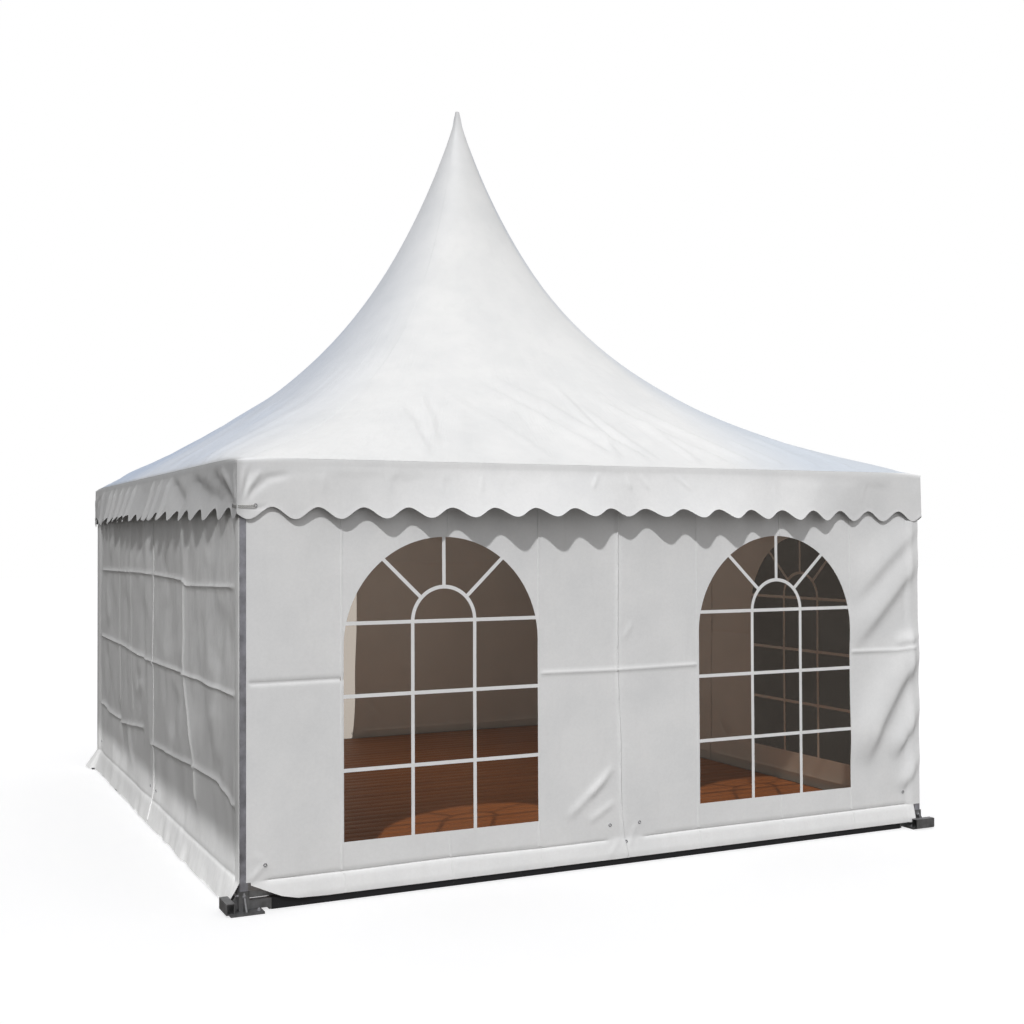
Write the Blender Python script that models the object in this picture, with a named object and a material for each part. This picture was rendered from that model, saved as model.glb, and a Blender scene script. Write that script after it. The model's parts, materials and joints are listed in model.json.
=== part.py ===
import bpy
import bmesh
from math import asin, atan, atan2, cos, exp, hypot, pi, sin, sqrt
from mathutils import Vector
from mathutils.geometry import delaunay_2d_cdt

# Square high-peak marquee tent on a ground frame with a timber deck.
# Metres, +Z up, origin on the ground at the centre of the plan.
# The front faces -Y and the left side faces -X.

# Plan and heights
WALL_FACE = 2.500
POST_OUT = 2.515
POST_WIDTH = 0.048
POST_IN = POST_OUT - POST_WIDTH
EAVE_Z = 2.547
PEAK_Z = 5.640
SKIN_TIP_Z = PEAK_Z - 0.030
BEAM_LOW = 2.456
GAP = 0.0003
CLOTH = 0.006

# Roof skin: the hips fall as an exponential plus a power of the distance left to the eave,
# and the plan is square at the eave and rounds off to a circle at the peak
ROOF_HALF = 2.530
HIP_DROP = 2.090
HIP_LENGTH = 0.604
HIP_SLOPE = PEAK_Z - EAVE_Z - HIP_DROP
HIP_POWER = 1.176
ROUND_POWER = 0.7
EVEN_TURN = 0.427
ROOF_ROWS = 16
ROOF_COLUMNS = 10
LIP_LOW = 2.500

# Scalloped band below the eave
SCALLOP_PITCH = 0.274
SCALLOP_CREST = -2.320
SCALLOP_MID = 2.249
SCALLOP_SWING = 0.037
BAND_BULGE = 0.095
BAND_FLARE = 0.012

# Walls, skirts and windows
WALL_TOP = BEAM_LOW - 0.008 - GAP
SKIRT_TOP = 0.165
HEM_Z = 0.040
GROOVE_DEEP = 0.010
WINDOW_CENTRE = 1.250
WINDOW_HALF = 0.642
WINDOW_LOW = 0.329
WINDOW_ARCH = 2.105 - WINDOW_HALF
BAR = 0.025
BAR_ROWS = (0.743, 1.173, 1.599)
BAR_COLUMN = 0.205
FAN_RADIUS = 0.205
FAN_TILT = 0.76
FILM = 0.003
FILM_LAP = 0.022

# Ground frame and deck
RAIL_HIGH = 0.065
RAIL_OUT = 2.512
RAIL_WIDTH = 0.057
RAIL_END = 2.330
PLATE = 0.012
SOCKET_TOP = 0.120
SOCKET_WALL = 0.006
DECK_LOW = RAIL_HIGH + GAP
DECK_TOP = 0.100
DECK_HALF = RAIL_OUT - RAIL_WIDTH - GAP
JOIST_CENTRES = (-2.0, -1.0, 0.0, 1.0, 2.0)
JOIST_HALF = 0.030

# Mast and stays
MAST_RADIUS = 0.035
MAST_LOW = 2.505
MAST_TOP = 4.900
MAST_TIP_RADIUS = 0.016
STAY_RADIUS = 0.006
STAY_IN = 0.115
STAY_OUT = 3.300
STAY_IN_Z = 2.440
STAY_OUT_Z = 2.440

SIDES = ("front", "right", "back", "left")
CORNERS = ("front_right", "back_right", "back_left", "front_left")

COLOURS = {
    "roof_fabric": ((0.86, 0.87, 0.89, 1.0), 0.42, 0.0),
    "band_fabric": ((0.82, 0.83, 0.85, 1.0), 0.45, 0.0),
    "wall_fabric": ((0.80, 0.81, 0.83, 1.0), 0.50, 0.0),
    "window_film": ((0.45, 0.40, 0.36, 0.35), 0.12, 0.0),
    "frame_aluminium": ((0.52, 0.52, 0.55, 1.0), 0.38, 1.0),
    "joint_steel": ((0.42, 0.42, 0.44, 1.0), 0.45, 1.0),
    "stay_steel": ((0.50, 0.50, 0.52, 1.0), 0.35, 1.0),
    "foot_steel": ((0.10, 0.10, 0.11, 1.0), 0.50, 1.0),
    "rail_paint": ((0.02, 0.02, 0.022, 1.0), 0.45, 0.0),
    "deck_timber": ((0.36, 0.20, 0.12, 1.0), 0.60, 0.0),
}


def clear_scene():
    """Remove every object that is already there."""
    for obj in list(bpy.data.objects):
        bpy.data.objects.remove(obj, do_unlink=True)


def make_material(name):
    """Plain principled material of the given name."""
    colour, roughness, metallic = COLOURS[name]
    material = bpy.data.materials.new(name)
    material.use_nodes = True
    shader = material.node_tree.nodes["Principled BSDF"]
    shader.inputs["Base Color"].default_value = colour
    shader.inputs["Roughness"].default_value = roughness
    shader.inputs["Metallic"].default_value = metallic
    shader.inputs["Alpha"].default_value = colour[3]
    return material


def make_object(name, verts, faces, material, quarter=0, turn=0.0, smooth=False):
    """Closed mesh object, turned about Z by a number of quarter turns plus an angle."""
    mesh = bpy.data.meshes.new(name)
    mesh.from_pydata([tuple(v) for v in verts], [], faces)
    work = bmesh.new()
    work.from_mesh(mesh)
    bmesh.ops.recalc_face_normals(work, faces=work.faces)
    for face in work.faces:
        face.smooth = smooth
    work.to_mesh(mesh)
    work.free()
    mesh.materials.append(MATERIALS[material])
    obj = bpy.data.objects.new(name, mesh)
    bpy.context.scene.collection.objects.link(obj)
    obj.rotation_euler = (0.0, 0.0, quarter * pi / 2 + turn)
    return obj


def layered(points, faces, place):
    """Two copies of a flat patch, joined along the edges that only one face uses."""
    count = len(points)
    verts = [place(p, 0) for p in points] + [place(p, 1) for p in points]
    used = {(f[i], f[(i + 1) % len(f)]) for f in faces for i in range(len(f))}
    solid = [tuple(f) for f in faces]
    solid += [tuple(count + i for i in reversed(f)) for f in faces]
    for i, j in sorted(used):
        if (j, i) not in used:
            solid.append((j, i, count + i, count + j))
    return verts, solid


def inside(loops, x, y):
    """Whether a point lies inside an outline with holes."""
    odd = False
    for loop in loops:
        for (x0, y0), (x1, y1) in zip(loop, loop[1:] + loop[:1]):
            if (y0 > y) != (y1 > y) and x < x0 + (y - y0) * (x1 - x0) / (y1 - y0):
                odd = not odd
    return odd


def fill(loops):
    """Points and triangles of an outline with holes, all turning the same way."""
    points = [p for loop in loops for p in loop]
    edges = []
    first = 0
    for loop in loops:
        size = len(loop)
        edges += [(first + i, first + (i + 1) % size) for i in range(size)]
        first += size
    result = delaunay_2d_cdt([Vector(p) for p in points], edges, [], 0, 1e-7)
    origin = [source[0] for source in result[3]]
    faces = []
    for face in result[2]:
        corners = [origin[i] for i in face]
        x = sum(points[i][0] for i in corners) / 3
        y = sum(points[i][1] for i in corners) / 3
        if inside(loops, x, y):
            faces.append(tuple(corners))
    return points, faces


def prism(loops, low, high, axis):
    """Outline with holes pushed along an axis between two positions."""
    points, faces = fill(loops)

    def place(p, side):
        depth = (low, high)[side]
        if axis == "x":
            return (depth, p[0], p[1])
        if axis == "y":
            return (p[0], depth, p[1])
        return (p[0], p[1], depth)

    return layered(points, faces, place)


def box(x0, x1, y0, y1, z0, z1):
    """Box between two corners."""
    return prism([[(x0, y0), (x1, y0), (x1, y1), (x0, y1)]], z0, z1, "z")


def union(name, parts, material, quarter=0):
    """One closed body from overlapping solids."""
    base = make_object(name, *parts[0], material)
    cutters = []
    for number, part in enumerate(parts[1:]):
        cutter = make_object(f"{name}_add_{number}", *part, material)
        cutter.hide_render = True
        cutter.display_type = "WIRE"
        modifier = base.modifiers.new(f"add_{number}", "BOOLEAN")
        modifier.operation = "UNION"
        modifier.solver = "EXACT"
        modifier.object = cutter
        cutters.append(cutter)
    graph = bpy.context.evaluated_depsgraph_get()
    solid = bpy.data.meshes.new_from_object(base.evaluated_get(graph))
    base.modifiers.clear()
    base.data = solid
    base.data.name = name
    for cutter in cutters:
        bpy.data.objects.remove(cutter, do_unlink=True)
    base.rotation_euler = (0.0, 0.0, quarter * pi / 2)
    return base


def lathe(profile, start, end, steps):
    """Closed round body: radii at distances along the line from start to end."""
    start = Vector(start)
    along = (Vector(end) - start).normalized()
    across = along.orthogonal().normalized()
    up = along.cross(across)
    verts = []
    for distance, radius in profile:
        for k in range(steps):
            angle = 2 * pi * k / steps
            verts.append(start + along * distance + (across * cos(angle) + up * sin(angle)) * radius)
    faces = []
    for j in range(len(profile) - 1):
        for k in range(steps):
            n = (k + 1) % steps
            faces.append((j * steps + k, j * steps + n, (j + 1) * steps + n, (j + 1) * steps + k))
    last = (len(profile) - 1) * steps
    faces.append(tuple(reversed(range(steps))))
    faces.append(tuple(range(last, last + steps)))
    return verts, faces


def hip_height(s):
    """Height of the hip line where the square plan has half width s."""
    left = max(0.0, 1 - s / ROOF_HALF)
    fall = exp(-s / HIP_LENGTH) - exp(-ROOF_HALF / HIP_LENGTH)
    return EAVE_Z + HIP_DROP * fall + HIP_SLOPE * left ** HIP_POWER


def hip_slope(s):
    """Steepness of the hip line at half width s."""
    step = 1e-4
    return (hip_height(max(0.0, s - step)) - hip_height(s + step)) / (step + min(s, step))


def roundness(s):
    """Roundness of the plan at half width s: 0 is a square and 1/2 is a circle."""
    return 0.5 * max(0.0, 1 - s / ROOF_HALF) ** ROUND_POWER


def round_reach(e):
    """Half width of a plan of roundness e, for a square of half width 1 that looks as wide.

    They look equally wide when turned by EVEN_TURN.
    """
    power = 1 / (1 - e)
    across = (cos(EVEN_TURN) ** power + sin(EVEN_TURN) ** power) ** (1 - e)
    return (cos(EVEN_TURN) + sin(EVEN_TURN)) / across


def round_share(e, f):
    """Share of the half width that a plan of roundness e keeps along the line x = f y."""
    return (1 + abs(f) ** (1 / e)) ** -e if e > 0.001 else 1.0


def roof_point(s, z, f, e):
    """Point of the front roof face at share f of the way from corner to corner."""
    half = s * round_reach(e) * round_share(e, f)
    return Vector((f * half, -half, z))


def roof_inner(s):
    """Half width and height of the skin's inner face opposite half width s."""
    slope = hip_slope(s)
    reach = sqrt(1 + slope * slope)
    return s - CLOTH * slope / reach, hip_height(s) - CLOTH / reach


def quarter_turn(v, k):
    """Point turned about Z by k quarter turns."""
    x, y, z = v
    for _ in range(k):
        x, y = -y, x
    return Vector((x, y, z))


def roof_shares():
    """Places across a roof face, closer together near its corners."""
    return [-cos(pi * i / ROOF_COLUMNS) for i in range(ROOF_COLUMNS)]


def roof_ring(s, z, e):
    """Closed ring of points round the roof."""
    return [quarter_turn(roof_point(s, z, f, e), k) for k in range(4) for f in roof_shares()]


def roof_halves():
    """Half widths of the roof rows from eave to just below the peak."""
    return [ROOF_HALF * (1 - j / ROOF_ROWS) ** 1.7 for j in range(1, ROOF_ROWS)]


def make_roof():
    """One skin over the whole tent with a turned-down lip at the eave."""
    outer = [roof_ring(ROOF_HALF, LIP_LOW, 0.0), roof_ring(ROOF_HALF, EAVE_Z, 0.0)]
    outer += [roof_ring(s, hip_height(s), roundness(s)) for s in roof_halves()]
    lip = ROOF_HALF - CLOTH
    inner = [roof_ring(lip, LIP_LOW, 0.0), roof_ring(lip, EAVE_Z - CLOTH, 0.0)]
    for s in roof_halves():
        half, z = roof_inner(s)
        if half > 0.004:
            inner.append(roof_ring(half, z, roundness(s)))
    verts = []
    faces = []
    size = 4 * ROOF_COLUMNS

    def skin(rings, peak, flip):
        first = len(verts)
        for ring in rings:
            verts.extend(ring)
        verts.append(Vector((0.0, 0.0, peak)))
        for j in range(len(rings) - 1):
            for i in range(size):
                n = (i + 1) % size
                a = first + j * size
                quad = (a + i, a + n, a + size + n, a + size + i)
                faces.append(tuple(reversed(quad)) if flip else quad)
        top = first + (len(rings) - 1) * size
        for i in range(size):
            tri = (top + i, top + (i + 1) % size, len(verts) - 1)
            faces.append(tuple(reversed(tri)) if flip else tri)
        return first

    low_outer = skin(outer, PEAK_Z, False)
    low_inner = skin(inner, SKIN_TIP_Z, True)
    for i in range(size):
        n = (i + 1) % size
        faces.append((low_outer + n, low_outer + i, low_inner + i, low_inner + n))
    make_object("roof_canopy", verts, faces, "roof_fabric", smooth=True)


def band_depth(a, z):
    """Distance of the band's outer face from the tent's centre plane."""
    drop = (LIP_LOW - z) / (LIP_LOW - SCALLOP_MID)
    bulge = BAND_FLARE + BAND_BULGE * max(0.0, 1 - (a / WALL_FACE) ** 2)
    return ROOF_HALF + bulge * drop ** 1.2


def make_band(k):
    """Hanging band with a scalloped hem along one side."""
    steps = 6
    reach = ROOF_HALF + BAND_FLARE
    count = int(2 * reach / SCALLOP_PITCH * steps) + 1
    columns = [-1 + 2 * i / count for i in range(count + 1)]
    rows = (0.0, 0.45, 1.0)
    top = LIP_LOW - GAP
    points = []
    for f in columns:
        a = f * reach
        phase = 2 * pi * (a - SCALLOP_CREST) / SCALLOP_PITCH
        hem = SCALLOP_MID + SCALLOP_SWING * cos(phase)
        points += [(f, top + (hem - top) * t) for t in rows]
    faces = []
    wide = len(rows)
    for i in range(count):
        for j in range(wide - 1):
            a = i * wide + j
            faces.append((a, a + 1, a + wide + 1, a + wide))

    def place(p, side):
        depth = band_depth(p[0] * reach, p[1]) - side * CLOTH
        return (p[0] * (depth - GAP / 2), -depth, p[1])

    verts, solid = layered(points, faces, place)
    make_object(f"valance_{SIDES[k]}", verts, solid, "band_fabric", k, smooth=True)


def arc(cx, cz, radius, start, end, steps):
    """Points on an arc, both ends included."""
    return [(cx + radius * cos(start + (end - start) * i / steps),
             cz + radius * sin(start + (end - start) * i / steps)) for i in range(steps + 1)]


def arch_angle(z):
    """Angle on the window's arch at height z, seen from its centre."""
    return asin((z - WINDOW_ARCH) / WINDOW_HALF)


def arch_hit(angle, shift):
    """Angle on the window's arch where a line parallel to a fan bar meets it."""
    fan_z = BAR_ROWS[2]
    dx, dz = cos(angle), sin(angle)
    ox, oz = -dz * shift, fan_z + dx * shift - WINDOW_ARCH
    b = ox * dx + oz * dz
    t = -b + sqrt(b * b - (ox * ox + oz * oz - WINDOW_HALF ** 2))
    return atan2(oz + t * dz, ox + t * dx)


def window_panes(centre):
    """Outlines of the panes between the glazing bars."""
    half = BAR / 2
    columns = ((-WINDOW_HALF, -BAR_COLUMN - half), (half - BAR_COLUMN, BAR_COLUMN - half),
               (BAR_COLUMN + half, WINDOW_HALF))
    rows = ((WINDOW_LOW, BAR_ROWS[0] - half), (BAR_ROWS[0] + half, BAR_ROWS[1] - half),
            (BAR_ROWS[1] + half, BAR_ROWS[2] - half))
    panes = []
    for row, (z0, z1) in enumerate(rows):
        for column, (a0, a1) in enumerate(columns):
            pane = [(a0, z0), (a1, z0), (a1, z1), (a0, z1)]
            if row == 2 and column == 2:
                pane = [(a0, z0), (a1, z0)] + arc(0, WINDOW_ARCH, WINDOW_HALF, 0, arch_angle(z1), 3)
                pane.append((a0, z1))
            if row == 2 and column == 0:
                pane = [(a0, z0), (a1, z0), (a1, z1)]
                pane += arc(0, WINDOW_ARCH, WINDOW_HALF, pi - arch_angle(z1), pi, 3)
            panes.append(pane)
    fan_z = BAR_ROWS[2]
    sill = fan_z + half
    inner = FAN_RADIUS - half
    lift = asin(half / inner)
    panes.append(arc(0, fan_z, inner, lift, pi - lift, 12))
    outer = FAN_RADIUS + half
    edges = (0.0, FAN_TILT, pi / 2, pi - FAN_TILT, pi)
    for i in range(4):
        left, right = edges[i + 1], edges[i]
        start = asin(half / outer)
        low = arch_angle(sill) if i == 0 else arch_hit(right, half)
        high = pi - arch_angle(sill) if i == 3 else arch_hit(left, -half)
        pane = arc(0, WINDOW_ARCH, WINDOW_HALF, low, high, 6)
        pane += arc(0, fan_z, outer, left - start, right + start, 4)
        panes.append(pane)
    return [[(centre + x, z) for x, z in pane] for pane in panes]


def wall_depth(z, flared):
    """Distance of a wall's outer face from the centre plane at height z."""
    if z >= SKIRT_TOP:
        return WALL_FACE
    low, reach = (0.004, 0.056) if flared else (0.066, 0.0226)
    return WALL_FACE + reach * min(1.0, (SKIRT_TOP - z) / (SKIRT_TOP - low))


def make_wall(name, k, right_half, windowed=False, flared=False, lifted=False):
    """Half-side wall sheet with its skirt, from corner post to mid joint."""
    sign = 1 if right_half else -1
    groove = sign * (POST_IN + GROOVE_DEEP - 2 * GAP)
    corner = sign * 2.452
    joint = sign * GAP / 2
    hem = 0.004 if flared else HEM_Z
    hems = [(corner, hem), (joint, hem)]
    if flared:
        hems.insert(1, (sign * 2.380, hem))
        hems[0] = (corner, 0.100)
    if lifted:
        hems = [(corner, 0.150), (sign * 2.180, 0.050), (joint, hem)]
    top_loop = [(groove, SKIRT_TOP), (groove, WALL_TOP), (joint, WALL_TOP)]
    top_loop += [(a, SKIRT_TOP) for a, _ in reversed(hems)]
    loops = [top_loop]
    if windowed:
        loops += window_panes(sign * WINDOW_CENTRE)
    points, faces = fill(loops)
    bend = (SKIRT_TOP - 0.066) / (SKIRT_TOP - HEM_Z)
    shares = (bend, 1.0)
    above = [len(top_loop) - 1 - i for i in range(len(hems))]
    for share in shares:
        below = []
        for a, low in hems:
            below.append(len(points))
            points.append((a, SKIRT_TOP + (low - SKIRT_TOP) * share))
        for i in range(len(hems) - 1):
            quad = (above[i], above[i + 1], below[i + 1], below[i])
            faces.append(quad if sign > 0 else tuple(reversed(quad)))
        above = below

    def place(p, side):
        return (p[0], -(wall_depth(p[1], flared) - side * CLOTH), p[1])

    verts, solid = layered(points, faces, place)
    return make_object(name, verts, solid, "wall_fabric", k)


def make_film(name, k, right_half):
    """Clear film behind one window."""
    centre = WINDOW_CENTRE if right_half else -WINDOW_CENTRE
    wide = WINDOW_HALF + FILM_LAP
    outline = [(centre - wide, WINDOW_LOW - FILM_LAP), (centre + wide, WINDOW_LOW - FILM_LAP)]
    outline += arc(centre, WINDOW_ARCH, wide, 0, pi, 24)
    depth = WALL_FACE - CLOTH - GAP
    verts, faces = prism([outline], -depth, FILM - depth, "y")
    make_object(name, verts, faces, "window_film", k)


def make_curtain():
    """Door half of the back wall, drawn aside in pleats and tied near the post."""
    pleats = 8
    steps = 6
    columns = pleats * steps
    rows = [(WALL_TOP, 0.44, 0.036), (2.10, 0.40, 0.054), (1.70, 0.30, 0.066), (1.35, 0.22, 0.072),
            (1.15, 0.20, 0.072), (0.95, 0.22, 0.072), (0.60, 0.30, 0.066), (0.12, 0.36, 0.060)]
    edge = 2.452
    middle = 2.445
    points = [(i, j) for j in range(len(rows)) for i in range(columns + 1)]
    faces = []
    wide = columns + 1
    for j in range(len(rows) - 1):
        for i in range(columns):
            a = j * wide + i
            faces.append((a, a + 1, a + wide + 1, a + wide))

    def fold(i, j):
        z, width, depth = rows[j]
        a = edge - width + width * i / columns
        return a, middle + depth * cos(2 * pi * i / steps) * (1 if 0 < i < columns else 0.6)

    def place(p, side):
        i, j = p
        a, d = fold(i, j)
        before = fold(max(0, i - 1), j)
        after = fold(min(columns, i + 1), j)
        da, dd = after[0] - before[0], after[1] - before[1]
        size = hypot(da, dd)
        half = 0.0022 if side else -0.0022
        return (a - dd / size * half, -(d + da / size * half), rows[j][0])

    verts, solid = layered(points, faces, place)
    make_object("door_curtain", verts, solid, "wall_fabric", 2, smooth=True)


def make_post(k):
    """Corner post with a keder groove in each inner face."""
    low, high = POST_IN, POST_OUT
    g0 = WALL_FACE - CLOTH - GAP
    g1 = WALL_FACE + GAP
    deep = POST_IN + GROOVE_DEEP
    outline = [(low, -high), (high, -high), (high, -low), (g1, -low), (g1, -deep), (g0, -deep),
               (g0, -low), (low, -low), (low, -g0), (deep, -g0), (deep, -g1), (low, -g1)]
    core = [(2.482, -2.511), (2.482, -2.482), (2.511, -2.482), (2.511, -2.511)]
    verts, faces = prism([outline, core], PLATE + GAP, BEAM_LOW - 0.008 - GAP, "z")
    make_object(f"post_{CORNERS[k]}", verts, faces, "frame_aluminium", k)


def make_foot(k):
    """Base plate, post socket, stub arms for the rails and an open tube stub."""
    inner = POST_IN - GAP
    outer = POST_OUT + GAP
    wall = SOCKET_WALL
    sleeve = [(inner - wall, -outer - wall), (outer + wall, -outer - wall),
              (outer + wall, -inner + wall), (inner - wall, -inner + wall)]
    hole = [(inner, -outer), (inner, -inner), (outer, -inner), (outer, -outer)]
    low = PLATE - 0.003
    arm_high = RAIL_HIGH - 0.001
    parts = [
        box(2.388, 2.582, -2.582, -2.388, 0.0, PLATE),
        prism([sleeve, hole], low, SOCKET_TOP, "z"),
        box(RAIL_END + 0.012, inner - 0.002, -2.509, -2.466, 0.014, arm_high),
        box(2.466, 2.509, 0.002 - inner, -RAIL_END - 0.012, 0.014, arm_high),
        box(RAIL_END + GAP, RAIL_END + 0.014, -RAIL_OUT, -2.462, 0.002, arm_high + 0.0006),
        box(2.462, RAIL_OUT, -RAIL_END - 0.014, -RAIL_END - GAP, 0.002, arm_high + 0.0006),
    ]
    tube = [(-2.604, low), (-2.556, low), (-2.556, 0.072), (-2.604, 0.072)]
    bore = [(-2.600, low + 0.006), (-2.600, 0.068), (-2.560, 0.068), (-2.560, low + 0.006)]
    parts.append(prism([tube, bore], 2.402, 2.566, "x"))
    brace = [(outer + wall - 0.002, low), (2.578, low), (2.578, 0.020), (outer + wall - 0.002, 0.112)]
    parts.append(prism([brace], -2.497, -2.487, "y"))
    brace = [(-outer - wall + 0.002, low), (-2.558, low), (-2.558, 0.050), (-outer - wall + 0.002, 0.112)]
    parts.append(prism([brace], 2.487, 2.497, "x"))
    union(f"foot_{CORNERS[k]}", parts, "foot_steel", k)


def make_rail(k):
    """Ground rail between two feet."""
    low, high = RAIL_OUT - RAIL_WIDTH, RAIL_OUT
    outline = [(-high, 0.0), (-low, 0.0), (-low, RAIL_HIGH), (-high, RAIL_HIGH)]
    core = [(-high + 0.004, 0.004), (-high + 0.004, RAIL_HIGH - 0.004),
            (-low - 0.004, RAIL_HIGH - 0.004), (-low - 0.004, 0.004)]
    verts, faces = prism([outline, core], -RAIL_END, RAIL_END, "x")
    make_object(f"ground_rail_{SIDES[k]}", verts, faces, "rail_paint", k)


def beam_top():
    """Height where a beam's outer edge meets the skin's inner face."""
    first = roof_halves()[0]
    half, z = roof_inner(first)
    rim = ROOF_HALF - CLOTH
    corner = half * round_reach(roundness(first)) * round_share(roundness(first), 1.0)
    share = (rim - POST_OUT) / (rim - corner)
    return EAVE_Z - CLOTH + share * (z - EAVE_Z + CLOTH) - GAP


def make_beam(k):
    """Eave beam with a keder strip below it."""
    end = POST_IN - GAP
    step = 2.250 - GAP
    low = BEAM_LOW - 0.008
    outline = [(-end, BEAM_LOW), (-step, BEAM_LOW), (-step, low), (step, low), (step, BEAM_LOW),
               (end, BEAM_LOW), (end, beam_top()), (-end, beam_top())]
    verts, faces = prism([outline], -POST_OUT, -POST_IN, "y")
    make_object(f"eave_beam_{SIDES[k]}", verts, faces, "frame_aluminium", k)


def make_joint(k):
    """Corner block on the post with a plate under both beams and an eye for the stay."""
    plate = [(POST_OUT, -POST_OUT), (POST_OUT, -2.250), (POST_IN, -2.250), (2.250, -POST_IN),
             (2.250, -POST_OUT)]
    top = BEAM_LOW - GAP
    low = BEAM_LOW - 0.008
    reach = STAY_OUT / sqrt(2)
    ear = 0.016
    lug = [(reach + ear, -reach + ear), (reach + ear * 2.6, -reach - ear * 0.6),
           (reach + ear * 0.6, -reach - ear * 2.6), (reach - ear, -reach - ear)]
    parts = [
        prism([plate], low, top, "z"),
        box(POST_IN, POST_OUT, -POST_OUT, -POST_IN, low + 0.001, beam_top()),
        prism([lug], STAY_OUT_Z - 0.014, low + 0.002, "z"),
    ]
    union(f"corner_joint_{CORNERS[k]}", parts, "joint_steel", k)


def mast_tip():
    """Height at which the mast's tip meets the skin's inner face."""
    below = (MAST_RADIUS, MAST_TOP)
    widest = atan(roof_shares()[ROOF_COLUMNS // 2 + 1])
    wanted = (MAST_TIP_RADIUS + GAP) / cos(widest / 2)
    rows = [(roof_inner(s), round_reach(roundness(s))) for s in roof_halves()]
    rows = [(half * reach, z) for (half, z), reach in rows if half > 0.004]
    rows.append((0.0, SKIN_TIP_Z))
    for row in rows:
        if row[0] < wanted:
            share = (below[0] - wanted) / (below[0] - row[0])
            return below[1] + share * (row[1] - below[1])
        below = row
    return MAST_TOP


def make_mast():
    """Central mast: foot disc with four ears, tube and tapered head."""
    tip = mast_tip()
    profile = [(0.0, MAST_RADIUS), (MAST_TOP - MAST_LOW, MAST_RADIUS),
               (tip - MAST_LOW - 0.010, MAST_TIP_RADIUS), (tip - MAST_LOW, MAST_TIP_RADIUS)]
    verts, faces = lathe(profile, (0, 0, MAST_LOW), (0, 0, 6), 24)
    make_object("mast", verts, faces, "frame_aluminium", turn=pi / 24, smooth=False)
    foot = [lathe([(0.0, 0.060), (0.072, 0.060)], (0, 0, 2.408), (0, 0, 3), 24),
            lathe([(0.0, 0.048), (0.030 - GAP, 0.048)], (0, 0, 2.475), (0, 0, 3), 24)]
    for k in range(4):
        foot.append(ear_solid(pi / 4 + k * pi / 2))
    union("mast_foot", foot, "joint_steel")


def ear_solid(angle):
    """Short bar standing out of the mast foot towards a corner."""
    bar = lathe([(0.0, 0.011), (STAY_IN - GAP - 0.040, 0.011)], (0.040, 0, STAY_IN_Z), (1, 0, STAY_IN_Z), 12)
    verts = []
    for v in bar[0]:
        verts.append(Vector((v.x * cos(angle) - v.y * sin(angle), v.x * sin(angle) + v.y * cos(angle), v.z)))
    return verts, bar[1]


def make_stay(k):
    """Steel stay with its turnbuckle from the mast foot to one corner joint."""
    length = STAY_OUT - STAY_IN - 2 * GAP
    body = length - 0.45
    profile = [(0.0, 0.010), (0.060, 0.010), (0.070, STAY_RADIUS), (body, STAY_RADIUS),
               (body + 0.020, 0.015), (body + 0.280, 0.015), (body + 0.300, STAY_RADIUS),
               (length - 0.030, STAY_RADIUS), (length - 0.025, 0.010), (length, 0.010)]
    verts, faces = lathe(profile, (STAY_IN, 0, STAY_IN_Z), (STAY_OUT, 0, STAY_OUT_Z), 12)
    make_object(f"stay_{CORNERS[k]}", verts, faces, "stay_steel", k, turn=-pi / 4, smooth=False)


def make_deck():
    """Timber deck on joists between the ground rails."""
    outline = [(-DECK_HALF, DECK_LOW)]
    for x in JOIST_CENTRES:
        outline += [(x - JOIST_HALF, DECK_LOW), (x - JOIST_HALF, 0.0),
                    (x + JOIST_HALF, 0.0), (x + JOIST_HALF, DECK_LOW)]
    outline += [(DECK_HALF, DECK_LOW), (DECK_HALF, DECK_TOP), (-DECK_HALF, DECK_TOP)]
    verts, faces = prism([outline], -DECK_HALF, DECK_HALF, "y")
    make_object("floor_deck", verts, faces, "deck_timber")


clear_scene()
MATERIALS = {name: make_material(name) for name in COLOURS}

make_roof()
make_mast()
make_deck()
for side in range(4):
    make_band(side)
    make_post(side)
    make_foot(side)
    make_rail(side)
    make_beam(side)
    make_joint(side)
    make_stay(side)

make_wall("wall_front_left", 0, False, windowed=True, lifted=True)
make_wall("wall_front_right", 0, True, windowed=True)
make_wall("wall_right_front", 1, False, windowed=True)
make_wall("wall_right_back", 1, True, windowed=True)
make_wall("wall_back_right", 2, False)
make_wall("wall_left_back", 3, False, flared=True)
make_wall("wall_left_front", 3, True, flared=True)
make_film("film_front_left", 0, False)
make_film("film_front_right", 0, True)
make_film("film_right_front", 1, False)
make_film("film_right_back", 1, True)
make_curtain()
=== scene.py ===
import json
from math import asin, atan2, cos, hypot, pi, radians, sin, sqrt

import bpy
import numpy as np
from mathutils import Matrix, Vector
from mathutils.geometry import delaunay_2d_cdt

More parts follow.
